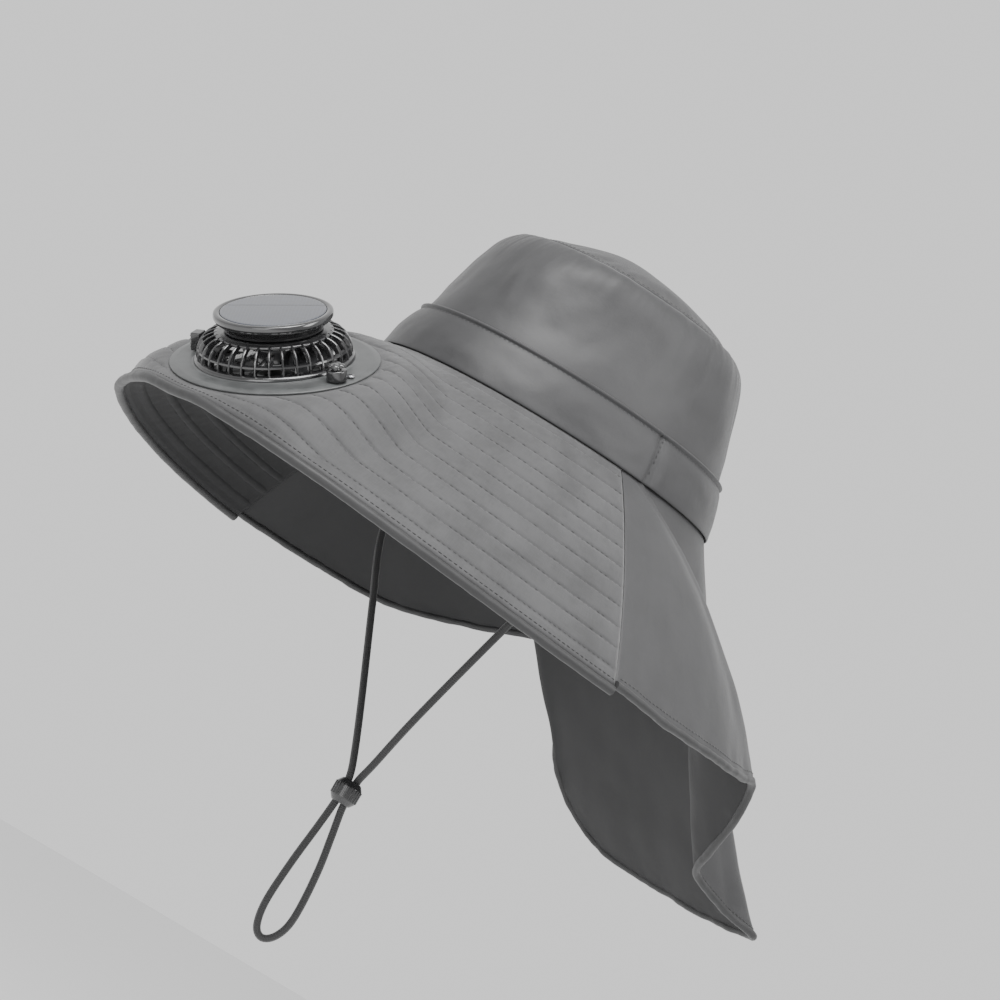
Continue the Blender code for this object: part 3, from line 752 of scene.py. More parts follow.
def grid_form(name: str, rows: Rows, closed: bool, cut: Optional[list[list[tuple[float, float]]]] = None,
              apex: Optional[Vector] = None) -> bpy.types.Object:
    """Makes a smooth sheet through rows of points, with its cut as a UV map in metres.

    Args:
        name: The object's name.
        rows: Equal rows; faces look outward where columns run counter-clockwise and rows run up.
        closed: Whether the last column meets the first.
        cut: The UV of each point; a closed sheet has one more for each row.
        apex: A last point that closes the top.

    Returns:
        The object.
    """
    count = len(rows[0])
    verts = [point for row in rows for point in row]
    faces, corners = [], []
    for r in range(len(rows) - 1):
        for c in range(count if closed else count - 1):
            n = (c + 1) % count
            faces.append((r * count + c, r * count + n, (r + 1) * count + n, (r + 1) * count + c))
            corners.append(((r, c), (r, c + 1), (r + 1, c + 1), (r + 1, c)))
    if apex is not None:
        verts.append(apex)
        last = len(rows) - 1
        for c in range(count):
            faces.append((last * count + c, last * count + (c + 1) % count, len(verts) - 1))
            corners.append(((last, c), (last, c + 1), (last, c)))
    mesh = bpy.data.meshes.new(name)
    mesh.from_pydata(verts, [], faces)
    layer = mesh.uv_layers.new(name="Cut")
    flat = []
    for face in corners:
        for r, c in face:
            flat += cut[r][c] if cut else (c * 0.001, r * 0.001)
    layer.data.foreach_set("uv", flat)
    mesh.shade_smooth()
    mesh.update()
    return linked(name, mesh)


def cut_map(rows: Rows, closed: bool) -> list[list[tuple[float, float]]]:
    """Measures a sheet's rows, so that its weave keeps one scale.

    Args:
        rows: The sheet's points.
        closed: Whether the sheet is a ring.

    Returns:
        The UV of each point in metres, with one more column for a ring.
    """
    middle = rows[len(rows) // 2]
    ring = list(middle) + ([middle[0]] if closed else [])
    across = [0.0]
    for a, b in zip(ring, ring[1:]):
        across.append(across[-1] + (b - a).length)
    column = [row[len(row) // 4] for row in rows]
    down = [0.0]
    for a, b in zip(column, column[1:]):
        down.append(down[-1] + (b - a).length)
    return [[(u, v) for u in across] for v in down]


def turned(name: str, profile: Profile, steps: int = 96, ring: bool = False) -> bpy.types.Object:
    """Turns a profile round the local Z axis.

    Args:
        name: The object's name.
        profile: Radius and height down the outer side; radius 0 closes a pole.
        steps: Sides of the turned form.
        ring: Whether the profile closes on itself.

    Returns:
        The object, smooth except at its sharp edges.
    """
    form = bmesh.new()
    verts: list[list[bmesh.types.BMVert]] = []
    for radius, height in profile:
        if radius < 1e-9:
            verts.append([form.verts.new((0.0, 0.0, height))] * steps)
        else:
            turns = (math.tau * i / steps for i in range(steps))
            verts.append(
                [form.verts.new((radius * math.cos(a), radius * math.sin(a), height)) for a in turns]
            )
    pairs = list(zip(verts, verts[1:])) + ([(verts[-1], verts[0])] if ring else [])
    for upper, lower in pairs:
        for i in range(steps):
            n = (i + 1) % steps
            corners = []
            for vert in (upper[i], lower[i], lower[n], upper[n]):
                if vert not in corners:
                    corners.append(vert)
            if len(corners) > 2:
                form.faces.new(corners)
    mesh = bpy.data.meshes.new(name)
    form.to_mesh(mesh)
    form.free()
    mesh.shade_smooth()
    mesh.set_sharp_from_angle(angle=math.radians(38.0))
    return linked(name, mesh)


def rounded(corners: Profile, radius: float, steps: int = 4) -> list[tuple[float, float]]:
    """Rounds a profile's inner corners.

    Args:
        corners: The profile's points.
        radius: How far from a corner its curve starts.
        steps: Points of each curve.

    Returns:
        The rounded profile; its first and last points stay.
    """
    points = [Vector(c) for c in corners]
    made = [tuple(points[0])]
    for before, here, after in zip(points, points[1:], points[2:]):
        back, ahead = before - here, after - here
        reach = min(radius, 0.45 * back.length, 0.45 * ahead.length)
        start, end = here + back.normalized() * reach, here + ahead.normalized() * reach
        for i in range(steps + 1):
            t = i / steps
            made.append(tuple(start.lerp(here, t).lerp(here.lerp(end, t), t)))
    return made + [tuple(points[-1])]


def swept(
    name: str, points: Sequence[Vector], radius: Callable[[float, float], float], sides: int = 16
) -> bpy.types.Object:
    """Makes a closed tube along points, without a twist.

    Args:
        name: The object's name.
        points: The centre line.
        radius: Gives the radius from the distance along and the angle round.
        sides: Sides of the tube.

    Returns:
        The object, with a UV map of the distance along and round.
    """
    rows, walked = [], 0.0
    distances = []
    along = (points[1] - points[0]).normalized()
    side = along.orthogonal().normalized()
    for i, point in enumerate(points):
        ahead = points[min(i + 1, len(points) - 1)] - points[max(i - 1, 0)]
        ahead.normalize()
        side = (side - ahead * side.dot(ahead)).normalized()
        up = ahead.cross(side)
        walked += (point - points[i - 1]).length if i else 0.0
        turns = [math.tau * k / sides for k in range(sides)]
        rows.append([point + (side * math.cos(a) + up * math.sin(a)) * radius(walked, a) for a in turns])
        distances.append(walked)
    form = bmesh.new()
    layer = form.loops.layers.uv.new("Cut")
    rings = [[form.verts.new(p) for p in row] for row in rows]
    girth = math.tau * radius(0.0, 0.0)
    for r, (low, high) in enumerate(zip(rings, rings[1:])):
        for k in range(sides):
            n = (k + 1) % sides
            face = form.faces.new((low[k], low[n], high[n], high[k]))
            for loop, (d, t) in zip(face.loops, ((r, k), (r, k + 1), (r + 1, k + 1), (r + 1, k))):
                loop[layer].uv = (distances[d], girth * t / sides)
    form.faces.new(list(reversed(rings[0])))
    form.faces.new(rings[-1])
    for face in form.faces:
        face.smooth = len(face.verts) == 4
    mesh = bpy.data.meshes.new(name)
    form.to_mesh(mesh)
    form.free()
    return linked(name, mesh)


def line_carrier(lines: Sequence[Sequence[Vector]]) -> bpy.types.Object:
    """Makes an object of bare edges for a tree to follow.

    Args:
        lines: The lines' points.

    Returns:
        The object.
    """
    verts: list[Vector] = []
    edges = []
    for line in lines:
        first = len(verts)
        verts += line
        edges += [(first + i, first + i + 1) for i in range(len(line) - 1)]
    mesh = bpy.data.meshes.new("stitch_lines")
    mesh.from_pydata(verts, edges, [])
    return linked("stitch_lines", mesh)


def joined(name: str, items: Sequence[bpy.types.Object]) -> bpy.types.Object:
    """Joins objects at the origin into one.

    Args:
        name: The result's name.
        items: The objects, all of which are used up.

    Returns:
        The joined object.
    """
    form = bmesh.new()
    for item in items:
        form.from_mesh(item.data)
    mesh = bpy.data.meshes.new(name)
    form.to_mesh(mesh)
    form.free()
    for item in items:
        bpy.data.objects.remove(item, do_unlink=True)
    return linked(name, mesh)


@dataclass(frozen=True)
class Ridge:
    """A soft fold in cloth, along a line in the cloth's own two coordinates, in metres."""

    start: tuple[float, float]
    end: tuple[float, float]
    width: float
    height: float

    def lift(self, across: float, down: float) -> float:
        """Gives the fold's height at a place.

        Args:
            across: The first coordinate.
            down: The second coordinate.

        Returns:
            The lift in metres, below 0 in a hollow.
        """
        a, b, p = Vector(self.start), Vector(self.end), Vector((across, down))
        run = b - a
        share = min(max((p - a).dot(run) / run.length_squared, 0.0), 1.0)
        away = (p - a.lerp(b, share)).length / self.width
        return 0.0 if away > 3.0 else self.height * math.exp(-away * away)


# The hat's own surfaces.


@dataclass(frozen=True)
class Fold:
    """One line down the cape: its turn and the place of its hem, as shares of the hat's sizes."""

    angle: float
    width: float
    reach: float
    drop: float
    bow: float


@dataclass(frozen=True)
class HatForm:
    """The hat's sizes and the surfaces that its cloth follows, in metres."""

    half_width: float = 0.084
    half_length: float = 0.100
    crown_height: float = 0.104
    lean: float = 0.0022
    band_height: float = 0.028
    cloth: float = 0.0016
    band_cloth: float = 0.0018
    brim_cloth: float = 0.003
    gap: float = 0.0003
    seam: float = math.radians(78.0)
    brim_half_width: float = 0.173
    front_reach: float = 0.218
    rim_centre: float = 0.020
    front_drop: float = 0.081
    side_drop: float = 0.100
    brim_bow: float = 0.004
    far_tuck: float = 0.012
    far_sag: float = 0.006
    roll: float = 0.0024
    flap_reach: float = 0.250
    flap_drop: float = 0.162
    fan_y: float = -0.1715
    fan_tilt: float = math.radians(40.0)
    plate_radius: float = 0.0500
    plate_half_width: float = 0.0540
    seat_margin: float = 0.004
    seat_blend: float = 0.028
    rim_free: float = 0.94
    rim_free_angle: float = math.radians(14.0)
    wall: tuple[tuple[float, float], ...] = (
        (1.000, 0.000), (0.965, 0.130), (0.875, 0.420), (0.812, 0.620), (0.763, 0.740), (0.700, 0.815),
        (0.620, 0.848),
    )
    tip: tuple[tuple[float, float], ...] = ((0.613, 0.851), (0.450, 0.915), (0.280, 0.962), (0.120, 0.990))
    near_folds: tuple[Fold, ...] = (
        Fold(80.0, 0.965, 0.070, 0.622, 0.050),
        Fold(81.5, 0.905, 0.290, 0.618, 0.070),
        Fold(83.0, 0.815, 0.420, 0.612, 0.068),
        Fold(86.0, 0.738, 0.508, 0.606, 0.062),
        Fold(93.0, 0.655, 0.575, 0.720, 0.010),
        Fold(104.0, 0.535, 0.640, 0.845, 0.000),
        Fold(118.0, 0.440, 0.712, 0.920, -0.020),
        Fold(134.0, 0.432, 0.845, 0.970, -0.028),
        Fold(150.0, 0.434, 0.958, 0.990, -0.032),
        Fold(165.0, 0.230, 0.992, 1.000, -0.040),
    )
    back_fold: Fold = Fold(180.0, 0.000, 1.000, 1.000, -0.040)
    far_folds: tuple[Fold, ...] = (
        Fold(80.0, 0.900, 0.070, 0.650, 0.050),
        Fold(81.5, 0.870, 0.270, 0.640, 0.065),
        Fold(84.0, 0.790, 0.400, 0.605, 0.070),
        Fold(88.0, 0.690, 0.500, 0.545, 0.060),
        Fold(97.0, 0.520, 0.630, 0.460, 0.010),
        Fold(108.0, 0.516, 0.735, 0.640, -0.010),
        Fold(120.0, 0.524, 0.812, 0.785, -0.020),
        Fold(135.0, 0.505, 0.905, 0.895, -0.028),
        Fold(150.0, 0.370, 0.970, 0.972, -0.035),
        Fold(165.0, 0.180, 0.995, 0.995, -0.040),
    )

    def crown_point(self, turn: float, size: float, level: float, offset: float = 0.0) -> Vector:
        """Gives a point of the crown.

        Args:
            turn: The angle from the front toward +X.
            size: The ring's share of the foot's size.
            level: Its share of the crown's height.
            offset: How far outside the cloth's outer face.

        Returns:
            The point.
        """
        wide = (self.half_width + self.cloth) * size + offset
        long = (self.half_length + self.cloth) * size + offset
        return Vector(
            (wide * math.sin(turn), self.lean * level - long * math.cos(turn), self.crown_height * level)
        )

    def wall_size(self, height: float) -> float:
        """Gives the crown wall's share of its foot's size at a height in metres."""
        level = height / self.crown_height
        for low, high in zip(self.wall, self.wall[1:]):
            if level <= high[1]:
                break
        return low[0] + (high[0] - low[0]) * (level - low[1]) / (high[1] - low[1])

    def foot(self, turn: float) -> Vector:
        """Gives a point of the brim's and the cape's first line, under the band."""
        grow = self.cloth + self.gap + 0.5 * self.band_cloth
        return Vector(
            (
                (self.half_width + grow) * math.sin(turn), -(self.half_length + grow) * math.cos(turn),
                -self.gap
            )
        )

    def rim(self, turn: float) -> Vector:
        """Gives a point of the brim's edge before the fan plate flattens it."""
        aside, ahead = math.sin(turn), math.cos(turn)
        far = aside * aside if aside < 0.0 else 0.0
        drop = self.side_drop + (self.front_drop - self.side_drop) * ahead * ahead + self.far_sag * far
        reach = self.rim_centre - (self.front_reach + self.rim_centre) * ahead
        return Vector(((self.brim_half_width - self.far_tuck * far) * aside, reach, -drop))

    def bowed(self, start: Vector, end: Vector, bow: float, share: float) -> Vector:
        """Gives a point on the way down from start to end, bowed outward half way.

        Args:
            start: Where the share is 0.
            end: Where the share is 1.
            bow: The lift at half way.
            share: How far along.

        Returns:
            The point.
        """
        outward = Vector((end.x - start.x, end.y - start.y, 0.0)).normalized()
        lift = (outward * 0.6 + Vector((0.0, 0.0, 0.8))) * bow
        return start.lerp(end, share) + lift * 4.0 * share * (1.0 - share)

    def fan_place(self) -> Matrix:
        """Gives the fan's own frame: +Z out of the brim, +Y up its slope."""
        start, end = self.foot(0.0), self.rim(0.0)
        share = (self.fan_y - start.y) / (end.y - start.y)
        place = self.bowed(start, end, self.brim_bow, share)
        return Matrix.Translation(place) @ Matrix.Rotation(self.fan_tilt, 4, "X")

    def brim_point(self, turn: float, share: float, fan: Matrix, back: Matrix) -> Vector:
        """Gives a point of the brim's upper face.

        Args:
            turn: The angle from the front toward +X.
            share: How far from the crown to the rim.
            fan: The fan's frame.
            back: Its inverse.

        Returns:
            The point, brought into the fan plate's plane where the plate clamps the brim.
        """
        near_rim = smooth_step((share - self.rim_free) / (1.0 - self.rim_free))
        hold = 1.0 - near_rim * smooth_step(abs(turn) / self.rim_free_angle)
        local = back @ self.bowed(self.foot(turn), self.rim(turn), self.brim_bow, share)
        narrow = self.plate_radius / self.plate_half_width
        away = math.hypot(local.x * narrow, local.y) - self.plate_radius - self.seat_margin
        local.z *= 1.0 - hold * (1.0 - smooth_step(away / self.seat_blend))
        return fan @ local

    def hem_point(self, fold: Fold, side: float) -> Vector:
        """Gives the hem's place on one line of the cape."""
        return Vector((
            side * fold.width * self.brim_half_width,
            fold.reach * self.flap_reach,
            -fold.drop * self.flap_drop,
        ))

    def cape_lines(self, steps: int) -> list[tuple[float, Vector, float]]:
        """Gives the lines down the cape from the near seam round to the far one.

        Args:
            steps: Lines for each gap between the named folds.

        Returns:
            Each line's turn, hem point and bow.
        """
        fan = self.fan_place()
        back = fan.inverted()
        knots = []
        for side, folds in ((1.0, self.near_folds), (-1.0, self.far_folds)):
            rim = self.brim_point(side * self.seam, 1.0, fan, back)
            first = Fold(math.degrees(self.seam) + 0.5, abs(rim.x) / self.brim_half_width,
                         (rim.y + 2.0 * self.gap) / self.flap_reach, -rim.z / self.flap_drop,
                         self.brim_bow / self.flap_drop)
            run = [(side, fold) for fold in (first, *folds)]
            knots += run + [(1.0, self.back_fold)] if side > 0.0 else list(reversed(run))
        turns, hems, bows = [], [], []
        for side, fold in knots:
            turn = math.radians(fold.angle)
            turns.append(turn if side > 0.0 else math.tau - turn)
            hems.append(self.hem_point(fold, side))
            bows.append(fold.bow * self.flap_drop)
        return list(zip(smooth_run(turns, steps), smooth_run(hems, steps), smooth_run(bows, steps)))


@dataclass
class Workroom:
    """What every sub-assembly shares: the hat's form, the materials and the piece log."""

    form: HatForm = field(default_factory=HatForm)
    wardrobe: Wardrobe = field(default_factory=Wardrobe)
    trees: dict[str, bpy.types.NodeTree] = field(default_factory=dict)

    def tree(self, make: Callable[[], bpy.types.NodeTree]) -> bpy.types.NodeTree:
        """Builds a Geometry Nodes tree at its first use."""
        if make.__name__ not in self.trees:
            self.trees[make.__name__] = make()
        return self.trees[make.__name__]

    def piece(self, item: bpy.types.Object, finish: Finish, slot: str, nodes: Sequence[str] = (),
              body: str = "hat", inside: Optional[Finish] = None) -> bpy.types.Object:
        """Dresses a finished piece and ties it to its body.

        Args:
            item: The piece, at the origin.
            finish: Its finish.
            slot: The record's slot; not used.
            nodes: The CAD nodes that it stands for.
            body: The body that it rides on.
            inside: A second finish, for the faces made by a wall's thickness, a darker copy of the cloth as
                painted shade.

        Returns:
            The piece.
        """
        item.data.materials.clear()
        item.data.materials.append(self.wardrobe.get(finish))
        if inside is not None:
            item.data.materials.append(self.wardrobe.get(inside))
        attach(item, body)
        if nodes:
            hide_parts(*nodes)
        LOG.info("%s: %d faces on %s, finish %s", item.name, len(item.data.polygons), body, finish.name)
        return item

    def wall(self, item: bpy.types.Object, thickness: float, lined: bool = False) -> bpy.types.Object:
        """Gives a sheet its thickness, inward from its outer face.

        Args:
            item: The sheet.
            thickness: In metres.
            lined: Whether the inner face takes the second material, with its painted shade.

        Returns:
            The same object.
        """
        thick = item.modifiers.new("cloth_thickness", "SOLIDIFY")
        thick.thickness = thickness
        thick.offset = -1.0
        thick.use_even_offset = False
        thick.use_rim = True
        # The inner shell takes the second, darker material: painted shade on the cloth's inner side.
        thick.material_offset = 1 if lined else 0
        return item

    def stitches(self, name: str, lines: Sequence[Sequence[Vector]], cloth: bpy.types.Object, pitch: float,
                 length: float, thread: float, slot: str, finish: Finish = Finish.THREAD,
                 sink: float = 0.0) -> bpy.types.Object:
        """Sews stitches along lines on a cloth.

        Args:
            name: The piece's name.
            lines: The lines, near the cloth's face.
            cloth: The cloth that the stitches lie on.
            pitch: From one stitch to the next.
            length: One stitch's length.
            thread: The thread's radius.
            slot: The record's slot.
            finish: The thread's finish.
            sink: How far the thread is pulled into the cloth.

        Returns:
            The stitches as one piece.
        """
        sizes = {
            "Cloth": cloth, "Pitch": pitch, "Stitch Length": length, "Thread Radius": thread, "Sink": sink,
            "Material": self.wardrobe.get(finish),
        }
        item = grown(name, line_carrier(lines), self.tree(stitches_on_cloth), sizes)
        return self.piece(item, finish, slot)

    def ring_of(
        self, name: str, member: bpy.types.Object, count: int, first: float = 0.0
    ) -> bpy.types.Object:
        """Sets copies of a member round the local Z axis.

        Args:
            name: The result's name.
            member: One member, which is used up.
            count: How many.
            first: The first one's turn.

        Returns:
            The ring as one object.
        """
        sizes = {"Count": count, "First Turn": first}
        return grown(name, member, self.tree(copies_in_a_ring), sizes)


# The cloth.


@dataclass
class Crown:
    """The crown's wall and tip with their puckered seam, and the band round its foot."""

    room: Workroom
    columns: int = 360
    wall_rows: int = 84
    tip_rows: int = 30
    pucker: float = 0.0008
    pucker_reach: float = 0.012
    folds: tuple[Ridge, ...] = (
        Ridge((0.075, 0.090), (0.020, 0.060), 0.012, 0.0022),
        Ridge((0.100, 0.070), (0.060, 0.034), 0.016, -0.0016),
        Ridge((0.160, 0.088), (0.185, 0.050), 0.014, 0.0014),
        Ridge((0.205, 0.086), (0.215, 0.055), 0.010, -0.0010),
        Ridge((0.300, 0.080), (0.330, 0.040), 0.018, 0.0014),
        Ridge((0.420, 0.086), (0.400, 0.045), 0.016, -0.0012),
        Ridge((0.520, 0.078), (0.495, 0.036), 0.016, 0.0013),
    )

    def wrinkle(self, turn: float, height: float) -> float:
        """Gives the wall's soft folds.

        Args:
            turn: The angle from the front toward +X, from 0 to a full turn.
            height: The height above the foot.

        Returns:
            How far the cloth stands out of its plain form.
        """
        form = self.room.form
        across = turn * 0.0905
        free = smooth_step((height - form.band_height - 0.002) / 0.014)
        lift = sum(fold.lift(across, height) for fold in self.folds)
        loop = Vector((math.sin(turn) * 2.2, math.cos(turn) * 2.2, height * 26.0))
        lift += 0.0010 * noise.noise(loop) + 0.0004 * noise.noise(loop * 3.1)
        seam = self.room.form.wall[-1][1] * form.crown_height
        below = (seam - height) / self.pucker_reach
        if below < 3.0:
            gather = noise.noise(Vector((math.sin(turn) * 9.0, math.cos(turn) * 9.0, 3.0)))
            fine = noise.noise(Vector((math.sin(turn) * 24.0, math.cos(turn) * 24.0, 7.0)))
            lift += self.pucker * (1.2 * gather + 0.8 * fine) * math.exp(-max(below, 0.0) ** 1.3)
        return lift * free

    def wall_sheet(self) -> bpy.types.Object:
        """Builds the wall as a ring of cloth that tapers to the tip seam."""
        form = self.room.form
        sizes = smooth_run([k[0] for k in form.wall], self.wall_rows // 6)
        levels = smooth_run([k[1] for k in form.wall], self.wall_rows // 6)
        rows = []
        for size, level in zip(sizes, levels):
            height = level * form.crown_height
            row = []
            for i in range(self.columns):
                turn = math.tau * i / self.columns
                lift = self.wrinkle(turn, height)
                point = form.crown_point(turn, size, level, lift)
                dip = smooth_step((level - 0.825) / 0.023)
                point.z -= 0.0008 * dip
                row.append(point)
            rows.append(row)
        item = grid_form("crown_wall_cloth", rows, True, cut_map(rows, True))
        self.room.wall(item, form.cloth)
        return self.room.piece(item, Finish.CROWN, "crown_cloth", ["crown_wall"])

    def tip_sheet(self) -> bpy.types.Object:
        """Builds the oval tip, sewn down all round and slack in its middle."""
        form = self.room.form
        sizes = smooth_run([k[0] for k in form.tip] + [0.02], self.tip_rows // 4)
        levels = smooth_run([k[1] for k in form.tip] + [0.999], self.tip_rows // 4)
        rows = []
        for size, level in zip(sizes, levels):
            row = []
            for i in range(self.columns // 2):
                turn = math.tau * i / (self.columns // 2)
                edge = smooth_step((size - 0.45) / 0.16)
                gather = noise.noise(Vector((math.sin(turn) * 9.0, math.cos(turn) * 9.0, 3.0)))
                soft = noise.noise(Vector((size * math.sin(turn) * 2.6, size * math.cos(turn) * 2.6, 11.0)))
                point = form.crown_point(turn, size, level)
                point.z += (
                    0.0016 * soft * (1.0 - edge) + 0.0010 * gather * edge * (1.0 - edge) * 4.0
                    - 0.0006 * edge
                )
                row.append(point)
            rows.append(row)
        apex = Vector((0.0, form.lean, form.crown_height + 0.0016 * noise.noise(Vector((0.0, 0.0, 11.0)))))
        item = grid_form("crown_tip_cloth", rows, True, cut_map(rows, True), apex)
        self.room.wall(item, form.cloth)
        return self.room.piece(item, Finish.CROWN, "crown_cloth", ["crown_tip"])

    def tip_seam(self, tip: bpy.types.Object) -> None:
        """Sews the line of stitches just inside the tip's edge."""
        form = self.room.form
        size, level = form.tip[0]
        turns = [math.tau * i / 200 for i in range(201)]
        line = [form.crown_point(turn, size * 0.965, level + 0.012) for turn in turns]
        self.room.stitches("tip_seam_stitches", [line], tip, 0.0030, 0.0024, 0.00022, "crown_cloth")

    def band_sheet(self) -> bpy.types.Object:
        """Builds the folded band with its piped upper edge and its lapped ends."""
        form = self.room.form
        lap = math.radians(88.0)
        section = [
            (0.0000, -0.0003), (0.0003, 0.0006), (0.0040, 0.0008), (0.0100, 0.0010), (0.0170, 0.0009),
            (0.0225, 0.0004), (0.0248, -0.0002), (0.0256, -0.0004), (0.0262, 0.0001), (0.0270, 0.0007),
            (0.0276, 0.0007), (0.0280, 0.0001),
        ]
        heights = smooth_run([p[0] for p in section], 3)
        lifts = smooth_run([p[1] for p in section], 3)
        rows = []
        for height, lift in zip(heights, lifts):
            row = []
            level = height / form.crown_height
            size = form.wall_size(height)
            free = math.sin(math.pi * min(height / 0.0245, 1.0))
            for i in range(self.columns):
                turn = math.tau * i / self.columns
                ring = Vector((math.sin(turn) * 3.0, math.cos(turn) * 3.0, height * 55.0))
                slack = 0.0009 * noise.noise(ring) * free + 0.0003 * noise.noise(ring * 3.0) * free
                away = (turn - lap) * 0.0905
                step = 0.0008 * (1.0 - smooth_step(abs(away - 0.006) / 0.0075)) * (0.4 + 0.6 * free)
                notch = -0.0016 * math.exp(-((away + 0.0016) / 0.0011) ** 2)
                notch -= 0.0012 * math.exp(
                    -((away + 0.0016) / 0.0022) ** 2 - ((height - 0.0228) / 0.0022) ** 2
                )
                grow = form.gap + form.band_cloth + lift + slack + step + notch
                row.append(form.crown_point(turn, size, level, grow))
            rows.append(row)
        item = grid_form("band_cloth_ring", rows, True, cut_map(rows, True))
        self.room.wall(item, form.band_cloth)
        return self.room.piece(item, Finish.BAND, "band_cloth", ["hat_band"])

    def band_seams(self, band: bpy.types.Object) -> None:
        """Sews the band's upper edge and the line up its lap."""
        form = self.room.form
        edge, lap = [], []
        for i in range(241):
            turn = math.tau * i / 240
            edge.append(form.crown_point(turn, form.wall_size(0.0254), 0.0254 / form.crown_height, 0.0019))
        for i in range(12):
            height = 0.001 + 0.0021 * i
            turn = math.radians(88.0) - 0.0016 / 0.0905
            lap.append(form.crown_point(turn, form.wall_size(height), height / form.crown_height, 0.0030))
        self.room.stitches("band_stitches", [edge, lap], band, 0.0028, 0.0022, 0.00022, "band_cloth")

    def build(self) -> None:
        """Builds the crown, its band and their seams."""
        self.wall_sheet()
        self.tip_seam(self.tip_sheet())
        self.band_seams(self.band_sheet())


@dataclass
class Brim:
    """The stiff quilted front brim with its rolled edge."""

    room: Workroom
    columns: int = 300
    quilt_rows: int = 11
    first_row: float = 0.045
    last_row: float = 0.935
    puff: float = 0.00055
    groove: float = 0.0005
    duct: float = 0.0368
    roll_radius: float = 0.0025
    crumple: float = 0.0004
    frames: tuple[Matrix, Matrix] = field(init=False)

    def __post_init__(self) -> None:
        """Works out the fan's frame once."""
        fan = self.room.form.fan_place()
        self.frames = (fan, fan.inverted())

    def point(self, turn: float, share: float) -> Vector:
        """Gives a point of the plain upper face."""
        return self.room.form.brim_point(turn, share, *self.frames)

    def normal(self, turn: float, share: float) -> Vector:
        """Gives the plain face's outward direction."""
        step = 0.004
        down = self.point(turn, min(share + step, 1.0)) - self.point(turn, max(share - step, 0.0))
        aside = self.point(turn + step, share) - self.point(turn - step, share)
        return down.cross(aside).normalized()

    def row_share(self, number: float) -> float:
        """Gives the share of a quilting row, counted from the crown."""
        return self.first_row + (self.last_row - self.first_row) * number / (self.quilt_rows - 1)

    def quilt(self, turn: float, share: float) -> float:
        """Gives the quilting's height at a place.

        Args:
            turn: The angle from the front.
            share: How far from the crown to the rim.

        Returns:
            The lift from the plain face.
        """
        number = (share - self.first_row) / (self.last_row - self.first_row) * (self.quilt_rows - 1)
        nearest = round(number)
        if not -0.5 <= number <= self.quilt_rows - 0.5:
            return 0.0
        away = abs(number - nearest) * 2.0
        place = Vector((turn * 9.0, nearest * 2.3, 0.0))
        tug = 0.75 + 0.5 * noise.noise(place) + 0.35 * noise.noise(Vector((turn * 55.0, nearest * 1.7, 4.0)))
        ripple = 0.0002 * noise.noise(Vector((turn * 60.0, share * 22.0, 9.0)))
        return (
            self.puff * math.sin(0.5 * math.pi * away) ** 0.8 * tug
            - self.groove * math.exp(-(away / 0.14) ** 2)
            + ripple
        )

    def quilt_sheet(self) -> bpy.types.Object:
        """Builds the quilted cloth, cut out under the fan."""
        form = self.room.form
        shares = {0.0, 1.0, 0.0225, 0.95, 0.965, 0.98}
        pattern = [0.0, 0.035, 0.08, 0.14, 0.24, 0.37, 0.5, 0.63, 0.76, 0.86, 0.92, 0.965]
        for number in range(self.quilt_rows - 1):
            shares |= {self.row_share(number + offset) for offset in pattern}
        shares.add(self.row_share(self.quilt_rows - 1))
        turns = [form.seam * (2.0 * i / self.columns - 1.0) for i in range(self.columns + 1)]
        rows = []
        for share in sorted(shares, reverse=True):
            row = []
            for turn in turns:
                place = self.point(turn, share)
                local = self.frames[1] @ place
                away = (
                    math.hypot(local.x * form.plate_radius / form.plate_half_width, local.y)
                    - form.plate_radius
                )
                lift = self.quilt(turn, share) * smooth_step(away / 0.004)
                ends = smooth_step((form.seam - abs(turn)) / 0.02)
                row.append(place + self.normal(turn, share) * lift * ends)
            rows.append(row)
        item = grid_form("brim_quilted", rows, False, cut_map(rows, False))
        self.cut_duct(item)
        # The underside takes the darker finish: painted shade under the brim.
        self.room.wall(item, form.brim_cloth, lined=True)
        return self.room.piece(item, Finish.BRIM, "brim_cloth", ["brim"], inside=Finish.BRIM_UNDERSIDE_SHADE)

    def cut_duct(self, item: bpy.types.Object) -> None:
        """Takes the cloth out from under the fan, to a round edge.

        Args:
            item: The quilted sheet.
        """
        mesh = bmesh.new()
        mesh.from_mesh(item.data)
        local = {v: self.frames[1] @ v.co for v in mesh.verts}
        inside = [
            v for v in mesh.verts if math.hypot(local[v].x, local[v].y) < self.duct and abs(local[v].z) < 0.02
        ]
        bmesh.ops.delete(mesh, geom=inside, context="VERTS")
        for vert in mesh.verts:
            place = self.frames[1] @ vert.co
            away = math.hypot(place.x, place.y)
            if vert.is_boundary and away < self.duct + 0.004 and abs(place.z) < 0.02:
                vert.co = self.frames[0] @ Vector(
                    (place.x * self.duct / away, place.y * self.duct / away, place.z)
                )
        mesh.to_mesh(item.data)
        mesh.free()

    def rows_of_stitches(self, cloth: bpy.types.Object) -> None:
        """Sews the quilting rows.

        Args:
            cloth: The quilted sheet.
        """
        form = self.room.form
        lines = []
        for number in range(self.quilt_rows):
            share = self.row_share(number)
            run: list[Vector] = []
            for i in range(361):
                turn = form.seam * (2.0 * i / 360 - 1.0) * 0.992
                place = self.point(turn, share)
                local = self.frames[1] @ place
                if (
                    math.hypot(local.x * form.plate_radius / form.plate_half_width, local.y)
                    < form.plate_radius + 0.0015
                ):
                    if len(run) > 2:
                        lines.append(run)
                    run = []
                    continue
                run.append(place + self.normal(turn, share) * 0.0004)
            if len(run) > 2:
                lines.append(run)
        self.room.stitches(
            "quilting_stitches", lines, cloth, 0.0032, 0.0025, 0.00026, "brim_cloth", Finish.QUILT_THREAD,
            0.00008
        )

